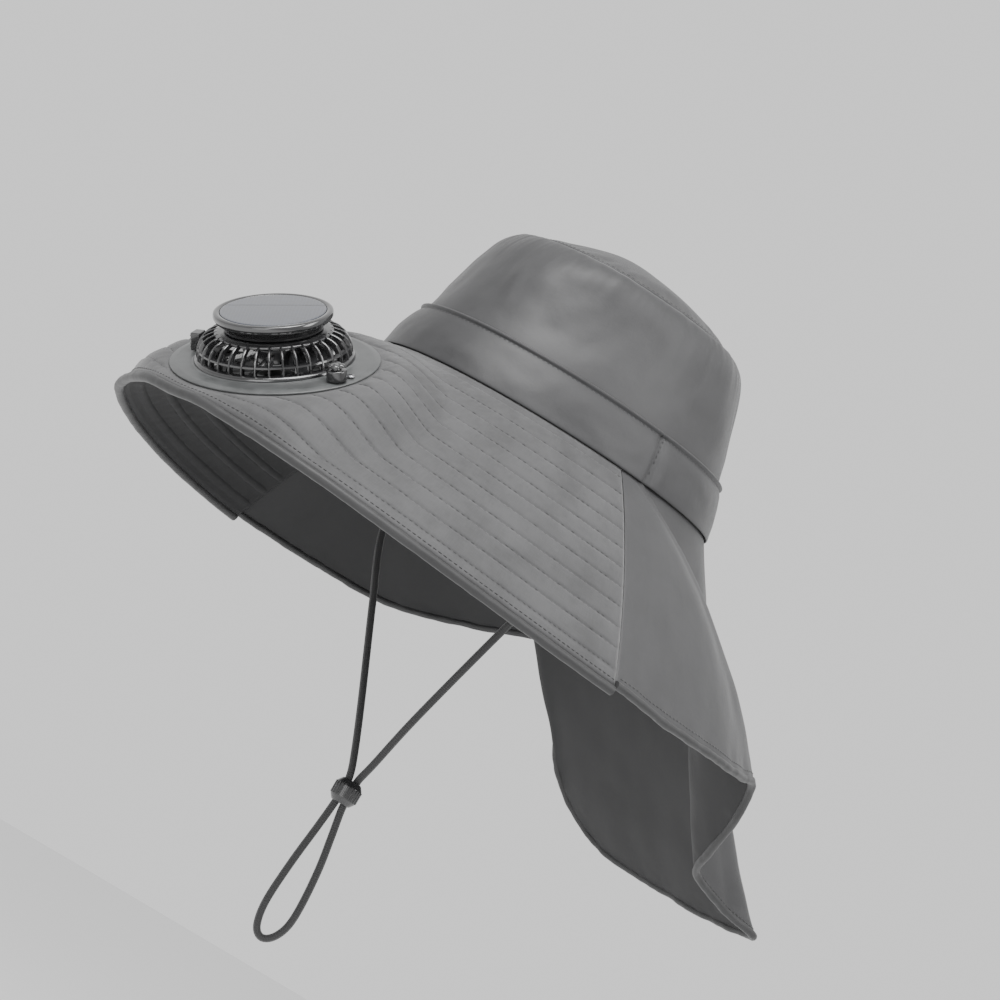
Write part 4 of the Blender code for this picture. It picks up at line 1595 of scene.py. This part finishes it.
    def rim_roll(self) -> bpy.types.Object:
        """Rolls the hem round the brim's edge."""
        form = self.room.form
        line = []
        for i in range(241):
            turn = form.seam * (2.0 * i / 240 - 1.0)
            edge = self.point(turn, 1.0)
            along = (edge - self.point(turn, 0.93)).normalized()
            aside = self.point(turn + 0.01, 1.0) - self.point(turn - 0.01, 1.0)
            inward = along.cross(aside).normalized()
            if inward.z > 0.0:
                inward = -inward
            line.append(edge + along * (form.gap + form.roll) * 0.8 + inward * 0.5 * form.brim_cloth)
        sizes = {
            "Radius": self.roll_radius, "Crumple": self.crumple, "Crumple Size": 0.011,
            "Material": self.room.wardrobe.get(Finish.HEM),
        }
        item = grown("brim_rolled_edge", line_carrier([line]), self.room.tree(rolled_edge), sizes)
        self.room.piece(item, Finish.HEM, "binding_cloth", ["brim_binding"])
        return item

    def rim_stitches(self, cloth: bpy.types.Object) -> None:
        """Sews the dark line that holds the rolled edge."""
        form = self.room.form
        line = []
        for i in range(361):
            turn = form.seam * (2.0 * i / 360 - 1.0) * 0.995
            line.append(self.point(turn, 0.978) + self.normal(turn, 0.978) * 0.0005)
        self.room.stitches(
            "rim_stitches", [line], cloth, 0.0030, 0.0026, 0.00034, "binding_cloth", Finish.THREAD, 0.0
        )

    def build(self) -> None:
        """Builds the brim, its rows of stitches and its edge."""
        cloth = self.quilt_sheet()
        self.rows_of_stitches(cloth)
        self.rim_roll()
        self.rim_stitches(cloth)


@dataclass
class Cape:
    """The soft cloth behind the side seams, with its hem and its hem seam."""

    room: Workroom
    steps: int = 14
    rows: int = 96
    hem_radius: float = 0.0021
    lines: list[tuple[float, Vector, float]] = field(init=False)

    def __post_init__(self) -> None:
        """Reads the cape's lines once."""
        self.lines = self.room.form.cape_lines(self.steps)

    def point(self, number: int, share: float) -> Vector:
        """Gives a point of the plain outer face on one line."""
        turn, hem, bow = self.lines[number]
        return self.room.form.bowed(self.room.form.foot(turn), hem, bow, share)

    def normal(self, number: int, share: float) -> Vector:
        """Gives the plain face's outward direction."""
        last = len(self.lines) - 1
        down = self.point(number, min(share + 0.01, 1.0)) - self.point(number, max(share - 0.01, 0.0))
        aside = self.point(min(number + 2, last), share) - self.point(max(number - 2, 0), share)
        return down.cross(aside).normalized()

    def ripple(self, place: Vector, share: float) -> float:
        """Gives the cloth's soft folds at a place.

        Args:
            place: The point on the plain face.
            share: How far down from the band.

        Returns:
            The lift in metres.
        """
        hang = smooth_step(share / 0.25)
        broad = noise.noise(Vector((place.x * 24.0, place.y * 24.0, place.z * 7.0)))
        fine = noise.noise(Vector((place.x * 70.0, place.y * 70.0, place.z * 22.0)) + Vector((5.0, 1.0, 2.0)))
        hem = smooth_step((share - 0.90) / 0.09)
        crumple = noise.noise(place * 150.0)
        return hang * (0.0016 * broad + 0.0004 * fine) + 0.0005 * hem * crumple

    def sheet(self) -> bpy.types.Object:
        """Builds the hanging cloth."""
        form = self.room.form
        shares = [1.0 - i / self.rows for i in range(self.rows + 1)]
        count = len(self.lines)
        rows = []
        for share in shares:
            row = []
            for number in range(count):
                place = self.point(number, share)
                ends = smooth_step(min(number, count - 1 - number) / 6.0)
                row.append(place + self.normal(number, share) * self.ripple(place, share) * ends)
            rows.append(row)
        item = grid_form("cape_cloth_sheet", rows, False, cut_map(rows, False))
        # The inner face takes the darker finish: painted shade inside the cape.
        self.room.wall(item, form.cloth, lined=True)
        self.room.piece(item, Finish.CAPE, "cape_cloth", ["neck_cape"], inside=Finish.CAPE_INSIDE_SHADE)
        return item

    def hem_roll(self) -> bpy.types.Object:
        """Rolls the hem along the cape's lower edge."""
        line = []
        for number in range(len(self.lines)):
            place = self.point(number, 1.0)
            down = (place - self.point(number, 0.97)).normalized()
            out = self.normal(number, 0.99)
            line.append(place - down * self.hem_radius * 0.4 - out * 0.0008 + out * self.ripple(place, 1.0))
        line = even_run(line, 0.002)
        sizes = {
            "Radius": self.hem_radius, "Crumple": 0.0005, "Crumple Size": 0.010,
            "Material": self.room.wardrobe.get(Finish.HEM),
        }
        item = grown("cape_rolled_edge", line_carrier([line]), self.room.tree(rolled_edge), sizes)
        return self.room.piece(item, Finish.HEM, "cape_cloth")

    def seam_lines(self, inset: float) -> list[Vector]:
        """Gives a line a fixed way up from the hem.

        Args:
            inset: How far from the hem's edge.

        Returns:
            The line's points.
        """
        line = []
        for number in range(2, len(self.lines) - 2):
            length = (self.point(number, 1.0) - self.point(number, 0.0)).length
            share = 1.0 - inset / length
            line.append(self.point(number, share) + self.normal(number, share) * 0.0006)
        return line

    def seams(self, cloth: bpy.types.Object) -> None:
        """Sews the hem line."""
        self.room.stitches(
            "cape_hem_stitches", [self.seam_lines(0.0052)], cloth, 0.0030, 0.0026, 0.0003, "cape_cloth"
        )

    def build(self) -> None:
        cloth = self.sheet()
        hem = self.hem_roll()
        self.seams(cloth)


# The fan.


@dataclass
class Fan:
    """The fan unit: its plate, cage, rotor, panel, button, screws and guard, in its own frame."""

    room: Workroom
    plate_radius: float = 0.0500
    plate_half_width: float = 0.0540
    duct: float = 0.0355
    cage_radius: float = 0.0378
    cage_foot: float = 0.0026
    cage_top: float = 0.0171
    ribs: int = 34
    rotor_radius: float = 0.0325
    blades: int = 7
    hub: float = 0.0105
    boss_place: Vector = field(default_factory=lambda: Vector((0.0485, 0.0035, 0.0)))
    screw_place: tuple[float, float] = (0.0485, 0.0115)
    lobes: int = 4
    place: Matrix = field(init=False)

    def __post_init__(self) -> None:
        """Works out the fan's frame once."""
        self.place = self.room.form.fan_place()

    def set_down(self, item: bpy.types.Object, finish: Finish, slot: str, nodes: Sequence[str] = (),
                 body: str = "hat") -> bpy.types.Object:
        """Moves a finished mesh from the fan's frame to its place and dresses it.

        Args:
            item: The piece in the fan's frame.
            finish: Its finish.
            slot: The record's slot.
            nodes: The CAD nodes that it stands for.
            body: The body that it rides on.

        Returns:
            The piece.
        """
        item.data.transform(self.place)
        item.data.update()
        return self.room.piece(item, finish, slot, nodes, body)

    def plate(self) -> None:
        """Builds the oval base plate with its raised step and rounded edge."""
        low, high = 0.0003, 0.0023
        corners = [
            (self.duct, high), (0.0395, high), (0.0402, high - 0.0003), (0.0470, high - 0.0003),
            (self.plate_radius, 0.0012), (self.plate_radius, low), (self.duct, low),
        ]
        profile = rounded(corners, 0.0006) + []
        item = turned("fan_plate_satin", profile[:-1] + [(self.duct, low)], 144, ring=True)
        stretch = self.plate_half_width / self.plate_radius
        for vert in item.data.vertices:
            away = math.hypot(vert.co.x, vert.co.y)
            vert.co.x *= 1.0 + (stretch - 1.0) * smooth_step((away - 0.038) / 0.010)
        self.set_down(item, Finish.PLATE, "plate_plastic", ["fan_plate"])

    def rib(self) -> bpy.types.Object:
        """Builds one curved rib of the cage, thin and round on its outer edge.

        Returns:
            The rib in the fan's frame, at turn 0.
        """
        outer = smooth_run([Vector(p) for p in (
            (0.0262, 0.0171), (0.0300, 0.0164), (0.0340, 0.0144), (0.0368, 0.0110), (0.0379, 0.0068),
            (0.0381, 0.0026),
        )], 4)
        inner = smooth_run([Vector(p) for p in (
            (0.0262, 0.0149), (0.0288, 0.0143), (0.0316, 0.0126), (0.0337, 0.0098), (0.0347, 0.0064),
            (0.0350, 0.0026),
        )], 4)
        form = bmesh.new()
        sections = []
        for out, inn in zip(outer, inner):
            half = 0.00058
            middle = out.lerp(inn, 0.12)
            ring = [
                (inn, -half), (middle, -half), (out, -half * 0.35), (out, half * 0.35), (middle, half),
                (inn, half)
            ]
            sections.append([form.verts.new((p.x, side, p.y)) for p, side in ring])
        for low, high in zip(sections, sections[1:]):
            for k in range(6):
                form.faces.new((low[k], low[(k + 1) % 6], high[(k + 1) % 6], high[k]))
        form.faces.new(list(reversed(sections[0])))
        form.faces.new(sections[-1])
        bmesh.ops.recalc_face_normals(form, faces=form.faces)
        mesh = bpy.data.meshes.new("cage_rib")
        form.to_mesh(mesh)
        form.free()
        return linked("cage_rib", mesh)

    def cage(self) -> None:
        """Builds the cage: its cap, its foot and middle hoops and its ribs."""
        cap = turned("cage_cap", rounded([
            (0.0, self.cage_top), (0.0268, self.cage_top), (0.0292, 0.0163), (0.0292, 0.0150),
            (0.0262, 0.0149), (0.0, 0.0149),
        ], 0.0008), 96)
        foot = turned("cage_hoops", [
            (0.0356, 0.0045), (0.0382, 0.0042), (0.0390, 0.0034), (0.0392, 0.0026), (0.0356, 0.0026),
        ], 96, ring=True)
        middle = turned("cage_middle", [
            (0.0350, 0.0092), (0.0371, 0.0089), (0.0373, 0.0080), (0.0350, 0.0078),
        ], 96, ring=True)
        ribs = self.room.ring_of("cage_ribs_ring", self.rib(), self.ribs, math.pi / self.ribs)
        item = joined("fan_cage_gloss", [cap, foot, middle, ribs])
        item.data.shade_smooth()
        item.data.set_sharp_from_angle(angle=math.radians(45.0))
        self.set_down(item, Finish.CAGE, "cage_plastic", ["fan_cage"])

    def blade(self) -> bpy.types.Object:
        """Builds one curved, twisted blade of the rotor.

        Returns:
            The blade in the fan's frame, at turn 0.
        """
        form = bmesh.new()
        rows = []
        for i in range(9):
            share = i / 8
            radius = 0.0085 + (self.rotor_radius - 0.0088) * share
            pitch = math.radians(44.0 - 16.0 * share)
            chord = 0.0085 + 0.0075 * share - 0.0035 * smooth_step((share - 0.75) / 0.25)
            row = []
            for k in range(7):
                t = k / 6 - 0.5
                camber = 0.0011 * (1.0 - (2.0 * t) ** 2)
                sweep = 0.10 * share + chord * t * math.cos(pitch) / radius
                height = 0.0050 + chord * t * math.sin(pitch) * 0.86 + camber
                height = min(max(height, 0.0009), 0.0090)
                row.append(form.verts.new((radius * math.cos(sweep), radius * math.sin(sweep), height)))
            rows.append(row)
        for low, high in zip(rows, rows[1:]):
            for k in range(6):
                form.faces.new((low[k], high[k], high[k + 1], low[k + 1]))
        mesh = bpy.data.meshes.new("rotor_blade")
        form.to_mesh(mesh)
        form.free()
        item = linked("rotor_blade", mesh)
        thick = item.modifiers.new("blade_thickness", "SOLIDIFY")
        thick.thickness = 0.0009
        thick.offset = 0.0
        bpy.context.view_layer.update()
        solid = bpy.data.meshes.new_from_object(item.evaluated_get(bpy.context.evaluated_depsgraph_get()))
        bpy.data.objects.remove(item, do_unlink=True)
        return linked("rotor_blade", solid)

    def rotor(self) -> None:
        """Builds the rotor: its domed hub and its blades."""
        hub = turned("rotor_hub", rounded([
            (0.0, 0.0098), (0.0094, 0.0098), (self.hub, 0.0088), (self.hub, 0.0012), (0.0088, 0.0004),
            (0.0, 0.0003),
        ], 0.0008), 64)
        blades = self.room.ring_of("rotor_blades", self.blade(), self.blades)
        item = joined("fan_rotor_gloss", [hub, blades])
        item.data.shade_smooth()
        item.data.set_sharp_from_angle(angle=math.radians(40.0))
        self.set_down(item, Finish.ROTOR, "rotor_plastic", ["fan_rotor"], "rotor")

    def motor(self) -> None:
        """Builds the motor can with its rolled end."""
        top, low = 0.0146, 0.0101
        item = turned("motor_can", rounded([
            (0.0, top), (self.hub, top), (self.hub, low + 0.0012), (self.hub - 0.0006, low + 0.0008),
            (self.hub - 0.0006, low), (0.0, low),
        ], 0.0005), 64)
        self.set_down(item, Finish.MOTOR, "motor_metal", ["motor"])

    def panel(self) -> None:
        """Builds the tapered neck with the bezel on it, and the solar cell."""
        shell = rounded([
            (0.0, 0.0256), (0.0261, 0.0256), (0.0261, 0.0263), (0.0276, 0.0267), (0.0290, 0.0262),
            (0.0293, 0.0252), (0.0293, 0.0238), (0.0284, 0.0224), (0.0262, 0.0206), (0.0246, 0.0190),
            (0.0242, 0.0174), (0.0, 0.0174),
        ], 0.0009, 5)
        item = turned("panel_shell", shell, 128)
        self.set_down(item, Finish.BEZEL, "bezel_plastic", ["panel_neck", "panel_bezel"])
        cell = turned("solar_cell_face", rounded([
            (0.0, 0.02660), (0.0250, 0.02655), (0.02585, 0.02640), (0.02585, 0.0258), (0.0, 0.0258),
        ], 0.0003), 96)
        self.map_cell(cell)
        self.set_down(cell, Finish.CELL, "cell_face", ["solar_cell"])

    def map_cell(self, cell: bpy.types.Object) -> None:
        """Lays the cell's map flat across its face, along the gap between its halves.

        Args:
            cell: The cell in the fan's frame.
        """
        layer = cell.data.uv_layers.new(name="Cut")
        turn = math.radians(50.0)
        for loop in cell.data.loops:
            place = cell.data.vertices[loop.vertex_index].co
            along = place.x * math.cos(turn) + place.y * math.sin(turn)
            across = place.y * math.cos(turn) - place.x * math.sin(turn)
            layer.data[loop.index].uv = (along, across)

    def button(self) -> None:
        """Builds the boss and the clover button in it."""
        boss = turned("boss_body", rounded([
            (0.0, 0.0036), (0.0023, 0.0036), (0.0023, 0.0078), (0.0046, 0.0078), (0.0050, 0.0073),
            (0.0050, 0.0026), (0.0, 0.0026),
        ], 0.0003), 48)
        boss.data.transform(Matrix.Translation(self.boss_place))
        self.set_down(boss, Finish.CAGE, "cage_plastic", ["button_boss"])
        stem = turned(
            "button_stem",
            [(0.0, 0.0106), (0.0019, 0.0106), (0.0020, 0.0104), (0.0020, 0.0047), (0.0, 0.0047)], 32
        )
        lobe = turned("button_lobe", [
            (0.0, 0.0108), (0.0009, 0.01072), (0.0016, 0.01045), (0.0021, 0.0100), (0.0022, 0.0096),
            (0.0021, 0.0090), (0.0, 0.0089),
        ], 28)
        lobe.data.transform(Matrix.Translation((0.0021, 0.0, 0.0)))
        lobes = self.room.ring_of("button_lobes", lobe, self.lobes, math.pi / self.lobes)
        cap = joined("power_button_clover", [stem, lobes])
        cap.data.transform(Matrix.Translation(self.boss_place))
        cap.data.shade_smooth()
        cap.data.set_sharp_from_angle(angle=math.radians(50.0))
        self.set_down(cap, Finish.BUTTON, "button_plastic", ["power_button"], "button")

    def screws(self) -> None:
        """Builds the two pan-head screws with their cross recesses."""
        for name, side in (("plate_screw_left", 1.0), ("plate_screw_right", -1.0)):
            head = turned(name + "_head", [
                (0.0, 0.00362), (0.0008, 0.00360), (0.0014, 0.00345), (0.0019, 0.0031), (0.0021, 0.0028),
                (0.0021, 0.0026), (0.0, 0.0026),
            ], 32)
            cutter = bmesh.new()
            for turn in (0.3, 0.3 + 0.5 * math.pi):
                size = Matrix.Diagonal((0.0024, 0.0005, 0.0010, 1.0))
                spot = Matrix.Translation((0.0, 0.0, 0.00375)) @ Matrix.Rotation(turn, 4, "Z") @ size
                bmesh.ops.create_cube(cutter, size=1.0, matrix=spot)
            mesh = bpy.data.meshes.new("recess")
            cutter.to_mesh(mesh)
            cutter.free()
            tool = linked("recess", mesh)
            cut = head.modifiers.new("recess", "BOOLEAN")
            cut.object = tool
            cut.operation = "DIFFERENCE"
            cut.solver = "EXACT"
            cut.use_self = True
            bpy.context.view_layer.update()
            mesh = bpy.data.meshes.new_from_object(head.evaluated_get(bpy.context.evaluated_depsgraph_get()))
            for spent in (head, tool):
                bpy.data.objects.remove(spent, do_unlink=True)
            item = linked(name + "_steel", mesh)
            item.data.transform(Matrix.Translation((side * self.screw_place[0], self.screw_place[1], 0.0)))
            self.set_down(item, Finish.SCREW, "screw_steel", [name])

    def block(self) -> None:
        """Builds the upright block at the far side of the cage, with its ribbed face."""
        form = bmesh.new()
        half = Vector((0.0026, 0.0035, 0.0045))
        bmesh.ops.create_cube(
            form, size=1.0, matrix=Matrix.Diagonal((half.x * 2.0, half.y * 2.0, half.z * 2.0, 1.0))
        )
        bmesh.ops.bevel(form, geom=form.edges[:], offset=0.0006, segments=3, profile=0.6, affect="EDGES")
        for k in range(4):
            spot = Matrix.Translation((half.x, 0.0, -0.0028 + 0.0019 * k)) @ Matrix.Diagonal(
                (0.0007, 0.0058, 0.0008, 1.0)
            )
            bmesh.ops.create_cube(form, size=1.0, matrix=spot)
        mesh = bpy.data.meshes.new("socket_block_ribbed")
        form.to_mesh(mesh)
        form.free()
        item = linked("socket_block_ribbed", mesh)
        turn = Matrix.Rotation(math.radians(212.0), 4, "Z")
        spot = turn @ Vector((self.cage_radius + 0.0006 + half.x, 0.0, 0.0))
        spot.z = self.cage_foot + half.z
        item.data.transform(Matrix.Translation(spot) @ turn)
        self.set_down(item, Finish.CAGE, "cage_plastic", ["socket_block"])

    def guard(self) -> None:
        """Builds the ring and spokes under the brim."""
        top, low = -0.0033, -0.0051
        outer = self.duct + 0.0070
        parts = [
            turned("guard_ring", rounded([
                (self.duct, top), (outer, top), (outer, low + 0.0005), (outer - 0.0006, low),
                (self.duct, low),
            ], 0.0004)[:-1] + [(self.duct, low)], 96, ring=True),
            turned(
                "guard_hub", rounded([(0.0, top), (self.hub, top), (self.hub, low), (0.0, low)], 0.0005), 64
            ),
            turned("guard_hoop", [(0.0221, top), (0.0239, top), (0.0239, low), (0.0221, low)], 96, ring=True),
        ]
        spoke = bmesh.new()
        size = Matrix.Diagonal((self.duct + 0.0018 - 0.5 * self.hub, 0.0018, 0.0015, 1.0))
        spot = Matrix.Translation((0.5 * (self.duct + 0.0018 + 0.5 * self.hub), 0.0, 0.5 * (low + top)))
        bmesh.ops.create_cube(spoke, size=1.0, matrix=spot @ size)
        bmesh.ops.bevel(spoke, geom=spoke.edges[:], offset=0.0004, segments=2, affect="EDGES")
        mesh = bpy.data.meshes.new("guard_spoke")
        spoke.to_mesh(mesh)
        spoke.free()
        parts.append(self.room.ring_of("guard_spokes", linked("guard_spoke", mesh), 6))
        item = joined("inner_guard_ring", parts)
        item.data.shade_smooth()
        item.data.set_sharp_from_angle(angle=math.radians(40.0))
        self.set_down(item, Finish.GUARD, "guard_plastic", ["inner_guard"])

    def build(self) -> None:
        """Builds the fan from the plate up."""
        for make in (
            self.plate, self.cage, self.rotor, self.motor, self.panel, self.button, self.screws, self.block,
            self.guard
        ):
            make()


# The chin cord.


@dataclass
class ChinCord:
    """The braided chin cord, the lock on it and the tabs that hold its ends."""

    room: Workroom
    radius: float = 0.0020
    lock_place: Vector = field(default_factory=lambda: Vector((0.0010, 0.0030, -0.2055)))
    lock_height: float = 0.0130
    route: tuple[tuple[float, float, float], ...] = (
        (0.0822, 0.0, -0.0040), (0.0822, 0.0, -0.0090), (0.0745, 0.0002, -0.0290),
        (0.0470, 0.0009, -0.0900), (0.0205, 0.0022, -0.1530), (0.0075, 0.0040, -0.1860),
        (0.0027, 0.0046, -0.1975), (0.00245, 0.0047, -0.2055), (0.0026, 0.0049, -0.2140),
        (0.0042, 0.0068, -0.2280), (0.0061, 0.0091, -0.2460), (0.0072, 0.0104, -0.2660),
        (0.0069, 0.0100, -0.2790), (0.0045, 0.0072, -0.2875), (0.0010, 0.0030, -0.2905),
        (-0.0021, -0.0007, -0.2860), (-0.0035, -0.0024, -0.2730), (-0.0028, -0.0015, -0.2500),
        (-0.0014, 0.0002, -0.2280), (-0.0006, 0.0011, -0.2140), (-0.00045, 0.0013, -0.2055),
        (-0.0009, 0.0012, -0.1975), (-0.0066, 0.0009, -0.1860), (-0.0230, 0.0003, -0.1600),
        (-0.0545, -0.0005, -0.1130), (-0.0760, -0.0008, -0.0800), (-0.0826, -0.0005, -0.0520),
        (-0.0824, 0.0, -0.0200), (-0.0822, 0.0, -0.0040),
    )

    def build(self) -> None:
        """Builds the lock, the cord through it and the tabs."""
        lock = self.lock()
        line = even_run(smooth_run([Vector(p) for p in self.route], 24), 0.0012)
        length = sum((b - a).length for a, b in zip(line, line[1:]))
        cord = swept("chin_cord_braid", line, lambda along, turn: self.radius, 18)
        self.room.piece(cord, Finish.CORD, "cord_fibre", ["chin_cord"])
        LOG.info("chin cord is %.3f m long", length)
        self.tabs()

    def lock(self) -> bpy.types.Object:
        """Builds the barrel lock with its grip ridges and its end caps.

        Returns:
            The lock.
        """
        half = 0.5 * self.lock_height
        body = turned("lock_body", rounded([
            (0.0, half), (0.0050, half), (0.0068, 0.62 * half), (0.0072, 0.50 * half), (0.0072, -0.50 * half),
            (0.0068, -0.62 * half), (0.0050, -half), (0.0, -half),
        ], 0.0008), 64)
        ridge = bmesh.new()
        spot = Matrix.Translation((0.0071, 0.0, 0.0)) @ Matrix.Diagonal(
            (0.0008, 0.0009, self.lock_height * 0.52, 1.0)
        )
        bmesh.ops.create_cube(ridge, size=1.0, matrix=spot)
        bmesh.ops.bevel(ridge, geom=ridge.edges[:], offset=0.0002, segments=1, affect="EDGES")
        mesh = bpy.data.meshes.new("lock_ridge")
        ridge.to_mesh(mesh)
        ridge.free()
        ridges = self.room.ring_of("lock_ridges", linked("lock_ridge", mesh), 22)
        item = joined("cord_lock_barrel", [body, ridges])
        item.data.transform(Matrix.Translation(self.lock_place))
        item.data.shade_smooth()
        item.data.set_sharp_from_angle(angle=math.radians(40.0))
        return self.room.piece(item, Finish.LOCK, "lock_plastic", ["cord_lock"])

    def tabs(self) -> None:
        """Builds the two webbing tabs inside the crown's foot with their sewn boxes."""
        for name, side in (("cord_tab_left", 1.0), ("cord_tab_right", -1.0)):
            low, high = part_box(name)
            low, high = Vector(low), Vector(high)
            middle, size = (low + high) * 0.5, high - low
            form = bmesh.new()
            bmesh.ops.create_cube(
                form, size=1.0, matrix=Matrix.Translation(middle) @ Matrix.Diagonal((*size, 1.0))
            )
            bmesh.ops.subdivide_edges(form, edges=form.edges[:], cuts=3, use_grid_fill=True)
            bmesh.ops.bevel(
                form, geom=[e for e in form.edges if e.calc_face_angle(0.0) > 1.0], offset=0.0005,
                segments=2, affect="EDGES"
            )
            layer = form.loops.layers.uv.new("Cut")
            for face in form.faces:
                for loop in face.loops:
                    loop[layer].uv = (loop.vert.co.y, loop.vert.co.z)
            mesh = bpy.data.meshes.new(name + "_webbing")
            form.to_mesh(mesh)
            form.free()
            item = linked(name + "_webbing", mesh)
            item.data.shade_smooth()
            item.data.set_sharp_from_angle(angle=math.radians(50.0))
            self.room.piece(item, Finish.TAB, "tab_cloth", [name])
            inner = low.x if side > 0.0 else high.x
            inset = 0.0016
            box = [
                Vector((inner, y, z))
                for y, z in (
                    (low.y + inset, low.z + 0.0060), (high.y - inset, low.z + 0.0060),
                    (high.y - inset, high.z - inset),
                    (low.y + inset, high.z - inset), (low.y + inset, low.z + 0.0060),
                    (high.y - inset, high.z - inset),
                )
            ]
            self.room.stitches(name + "_stitches", [box], item, 0.0016, 0.0013, 0.0002, "tab_cloth")


# The studio.


@dataclass
class Studio:
    """The camera at the photograph's angle, the soft lights and the pale floor."""

    azimuth: float = math.radians(50.0)
    elevation: float = math.radians(-5.5)
    roll: float = math.radians(30.6)
    distance: float = 1.95
    target: Vector = field(default_factory=lambda: Vector((0.0, -0.007, -0.037)))
    lens: float = 136.9
    floor_height: float = -0.60

    def axes(self) -> tuple[Vector, Vector, Vector]:
        """Gives the camera's right, up and backward directions."""
        a, e, r = self.azimuth, self.elevation, self.roll
        toward = Vector((math.sin(a) * math.cos(e), -math.cos(a) * math.cos(e), math.sin(e)))
        right = Vector((math.cos(a), math.sin(a), 0.0))
        up = toward.cross(right)
        return right * math.cos(r) + up * math.sin(r), up * math.cos(r) - right * math.sin(r), toward

    def camera(self) -> None:
        """Sets up the camera."""
        right, up, toward = self.axes()
        data = bpy.data.cameras.new("photo_camera")
        data.lens = self.lens
        data.sensor_width = 36.0
        data.clip_start = 0.05
        data.clip_end = 50.0
        eye = bpy.data.objects.new("photo_camera", data)
        turn = Matrix((right, up, toward)).transposed().to_4x4()
        eye.matrix_world = Matrix.Translation(self.target + toward * self.distance) @ turn
        bpy.context.scene.collection.objects.link(eye)
        bpy.context.scene.camera = eye

    def soft_box(
        self, name: str, direction: Vector, distance: float, size: tuple[float, float], power: float
    ) -> None:
        """Hangs one soft light that looks at the hat.

        Args:
            name: The light's name.
            direction: Where it hangs, seen from the hat.
            distance: How far away.
            size: Its width and height.
            power: Its power in watts.
        """
        data = bpy.data.lights.new(name, "AREA")
        data.shape = "RECTANGLE"
        data.size, data.size_y = size
        data.energy = power
        item = bpy.data.objects.new(name, data)
        place = self.target + direction.normalized() * distance
        item.matrix_world = Matrix.Translation(place) @ direction.to_track_quat("Z", "Y").to_matrix().to_4x4()
        bpy.context.scene.collection.objects.link(item)

    def lights(self) -> None:
        """Hangs the lights and sets the white surround."""
        right, up, toward = self.axes()
        self.soft_box("key_above", up * 1.0 + toward * 0.55 + right * 0.25, 1.8, (1.4, 1.0), 60.0)
        self.soft_box("side_right", right * 1.0 + toward * 0.35 + up * 0.2, 1.8, (0.7, 1.3), 22.0)
        self.soft_box("front_low", toward * 1.0 + up * 0.25 - right * 0.35, 2.3, (1.2, 0.8), 14.0)
        world = bpy.data.worlds.new("white_surround")
        bpy.context.scene.world = world
        world.use_nodes = True
        sky = world.node_tree.nodes["Background"]
        sky.inputs["Color"].default_value = (1.0, 1.0, 1.0, 1.0)
        sky.inputs["Strength"].default_value = 1.0

    def floor(self) -> None:
        """Lays the plain pale floor."""
        form = bmesh.new()
        spot = Matrix.Translation((0.0, 0.0, self.floor_height))
        bmesh.ops.create_circle(form, cap_ends=True, segments=96, radius=7.0, matrix=spot)
        mesh = bpy.data.meshes.new("pale_floor")
        form.to_mesh(mesh)
        form.free()
        item = linked("pale_floor", mesh)
        shade = ShaderGraph("floor_paper", (0.86, 0.86, 0.86))
        grain = shade.speckle(40.0, 4.0)
        shade.set(
            base_color=shade.mixed(grain, (0.85, 0.85, 0.85), (0.88, 0.88, 0.88)),
            roughness=0.9 - grain * 0.1
        )
        item.data.materials.append(shade.material)


def main() -> None:
    """Builds the studio and the hat in order."""
    logging.basicConfig(level=logging.INFO, format="%(name)s: %(message)s")
    studio = Studio()
    studio.camera()
    room = Workroom()
    ChinCord(room).build()
    for maker in (Crown(room), Brim(room), Cape(room), Fan(room)):
        LOG.info("building %s", type(maker).__name__)
        maker.build()
    studio.lights()
    studio.floor()


if __name__ == "__main__":
    main()
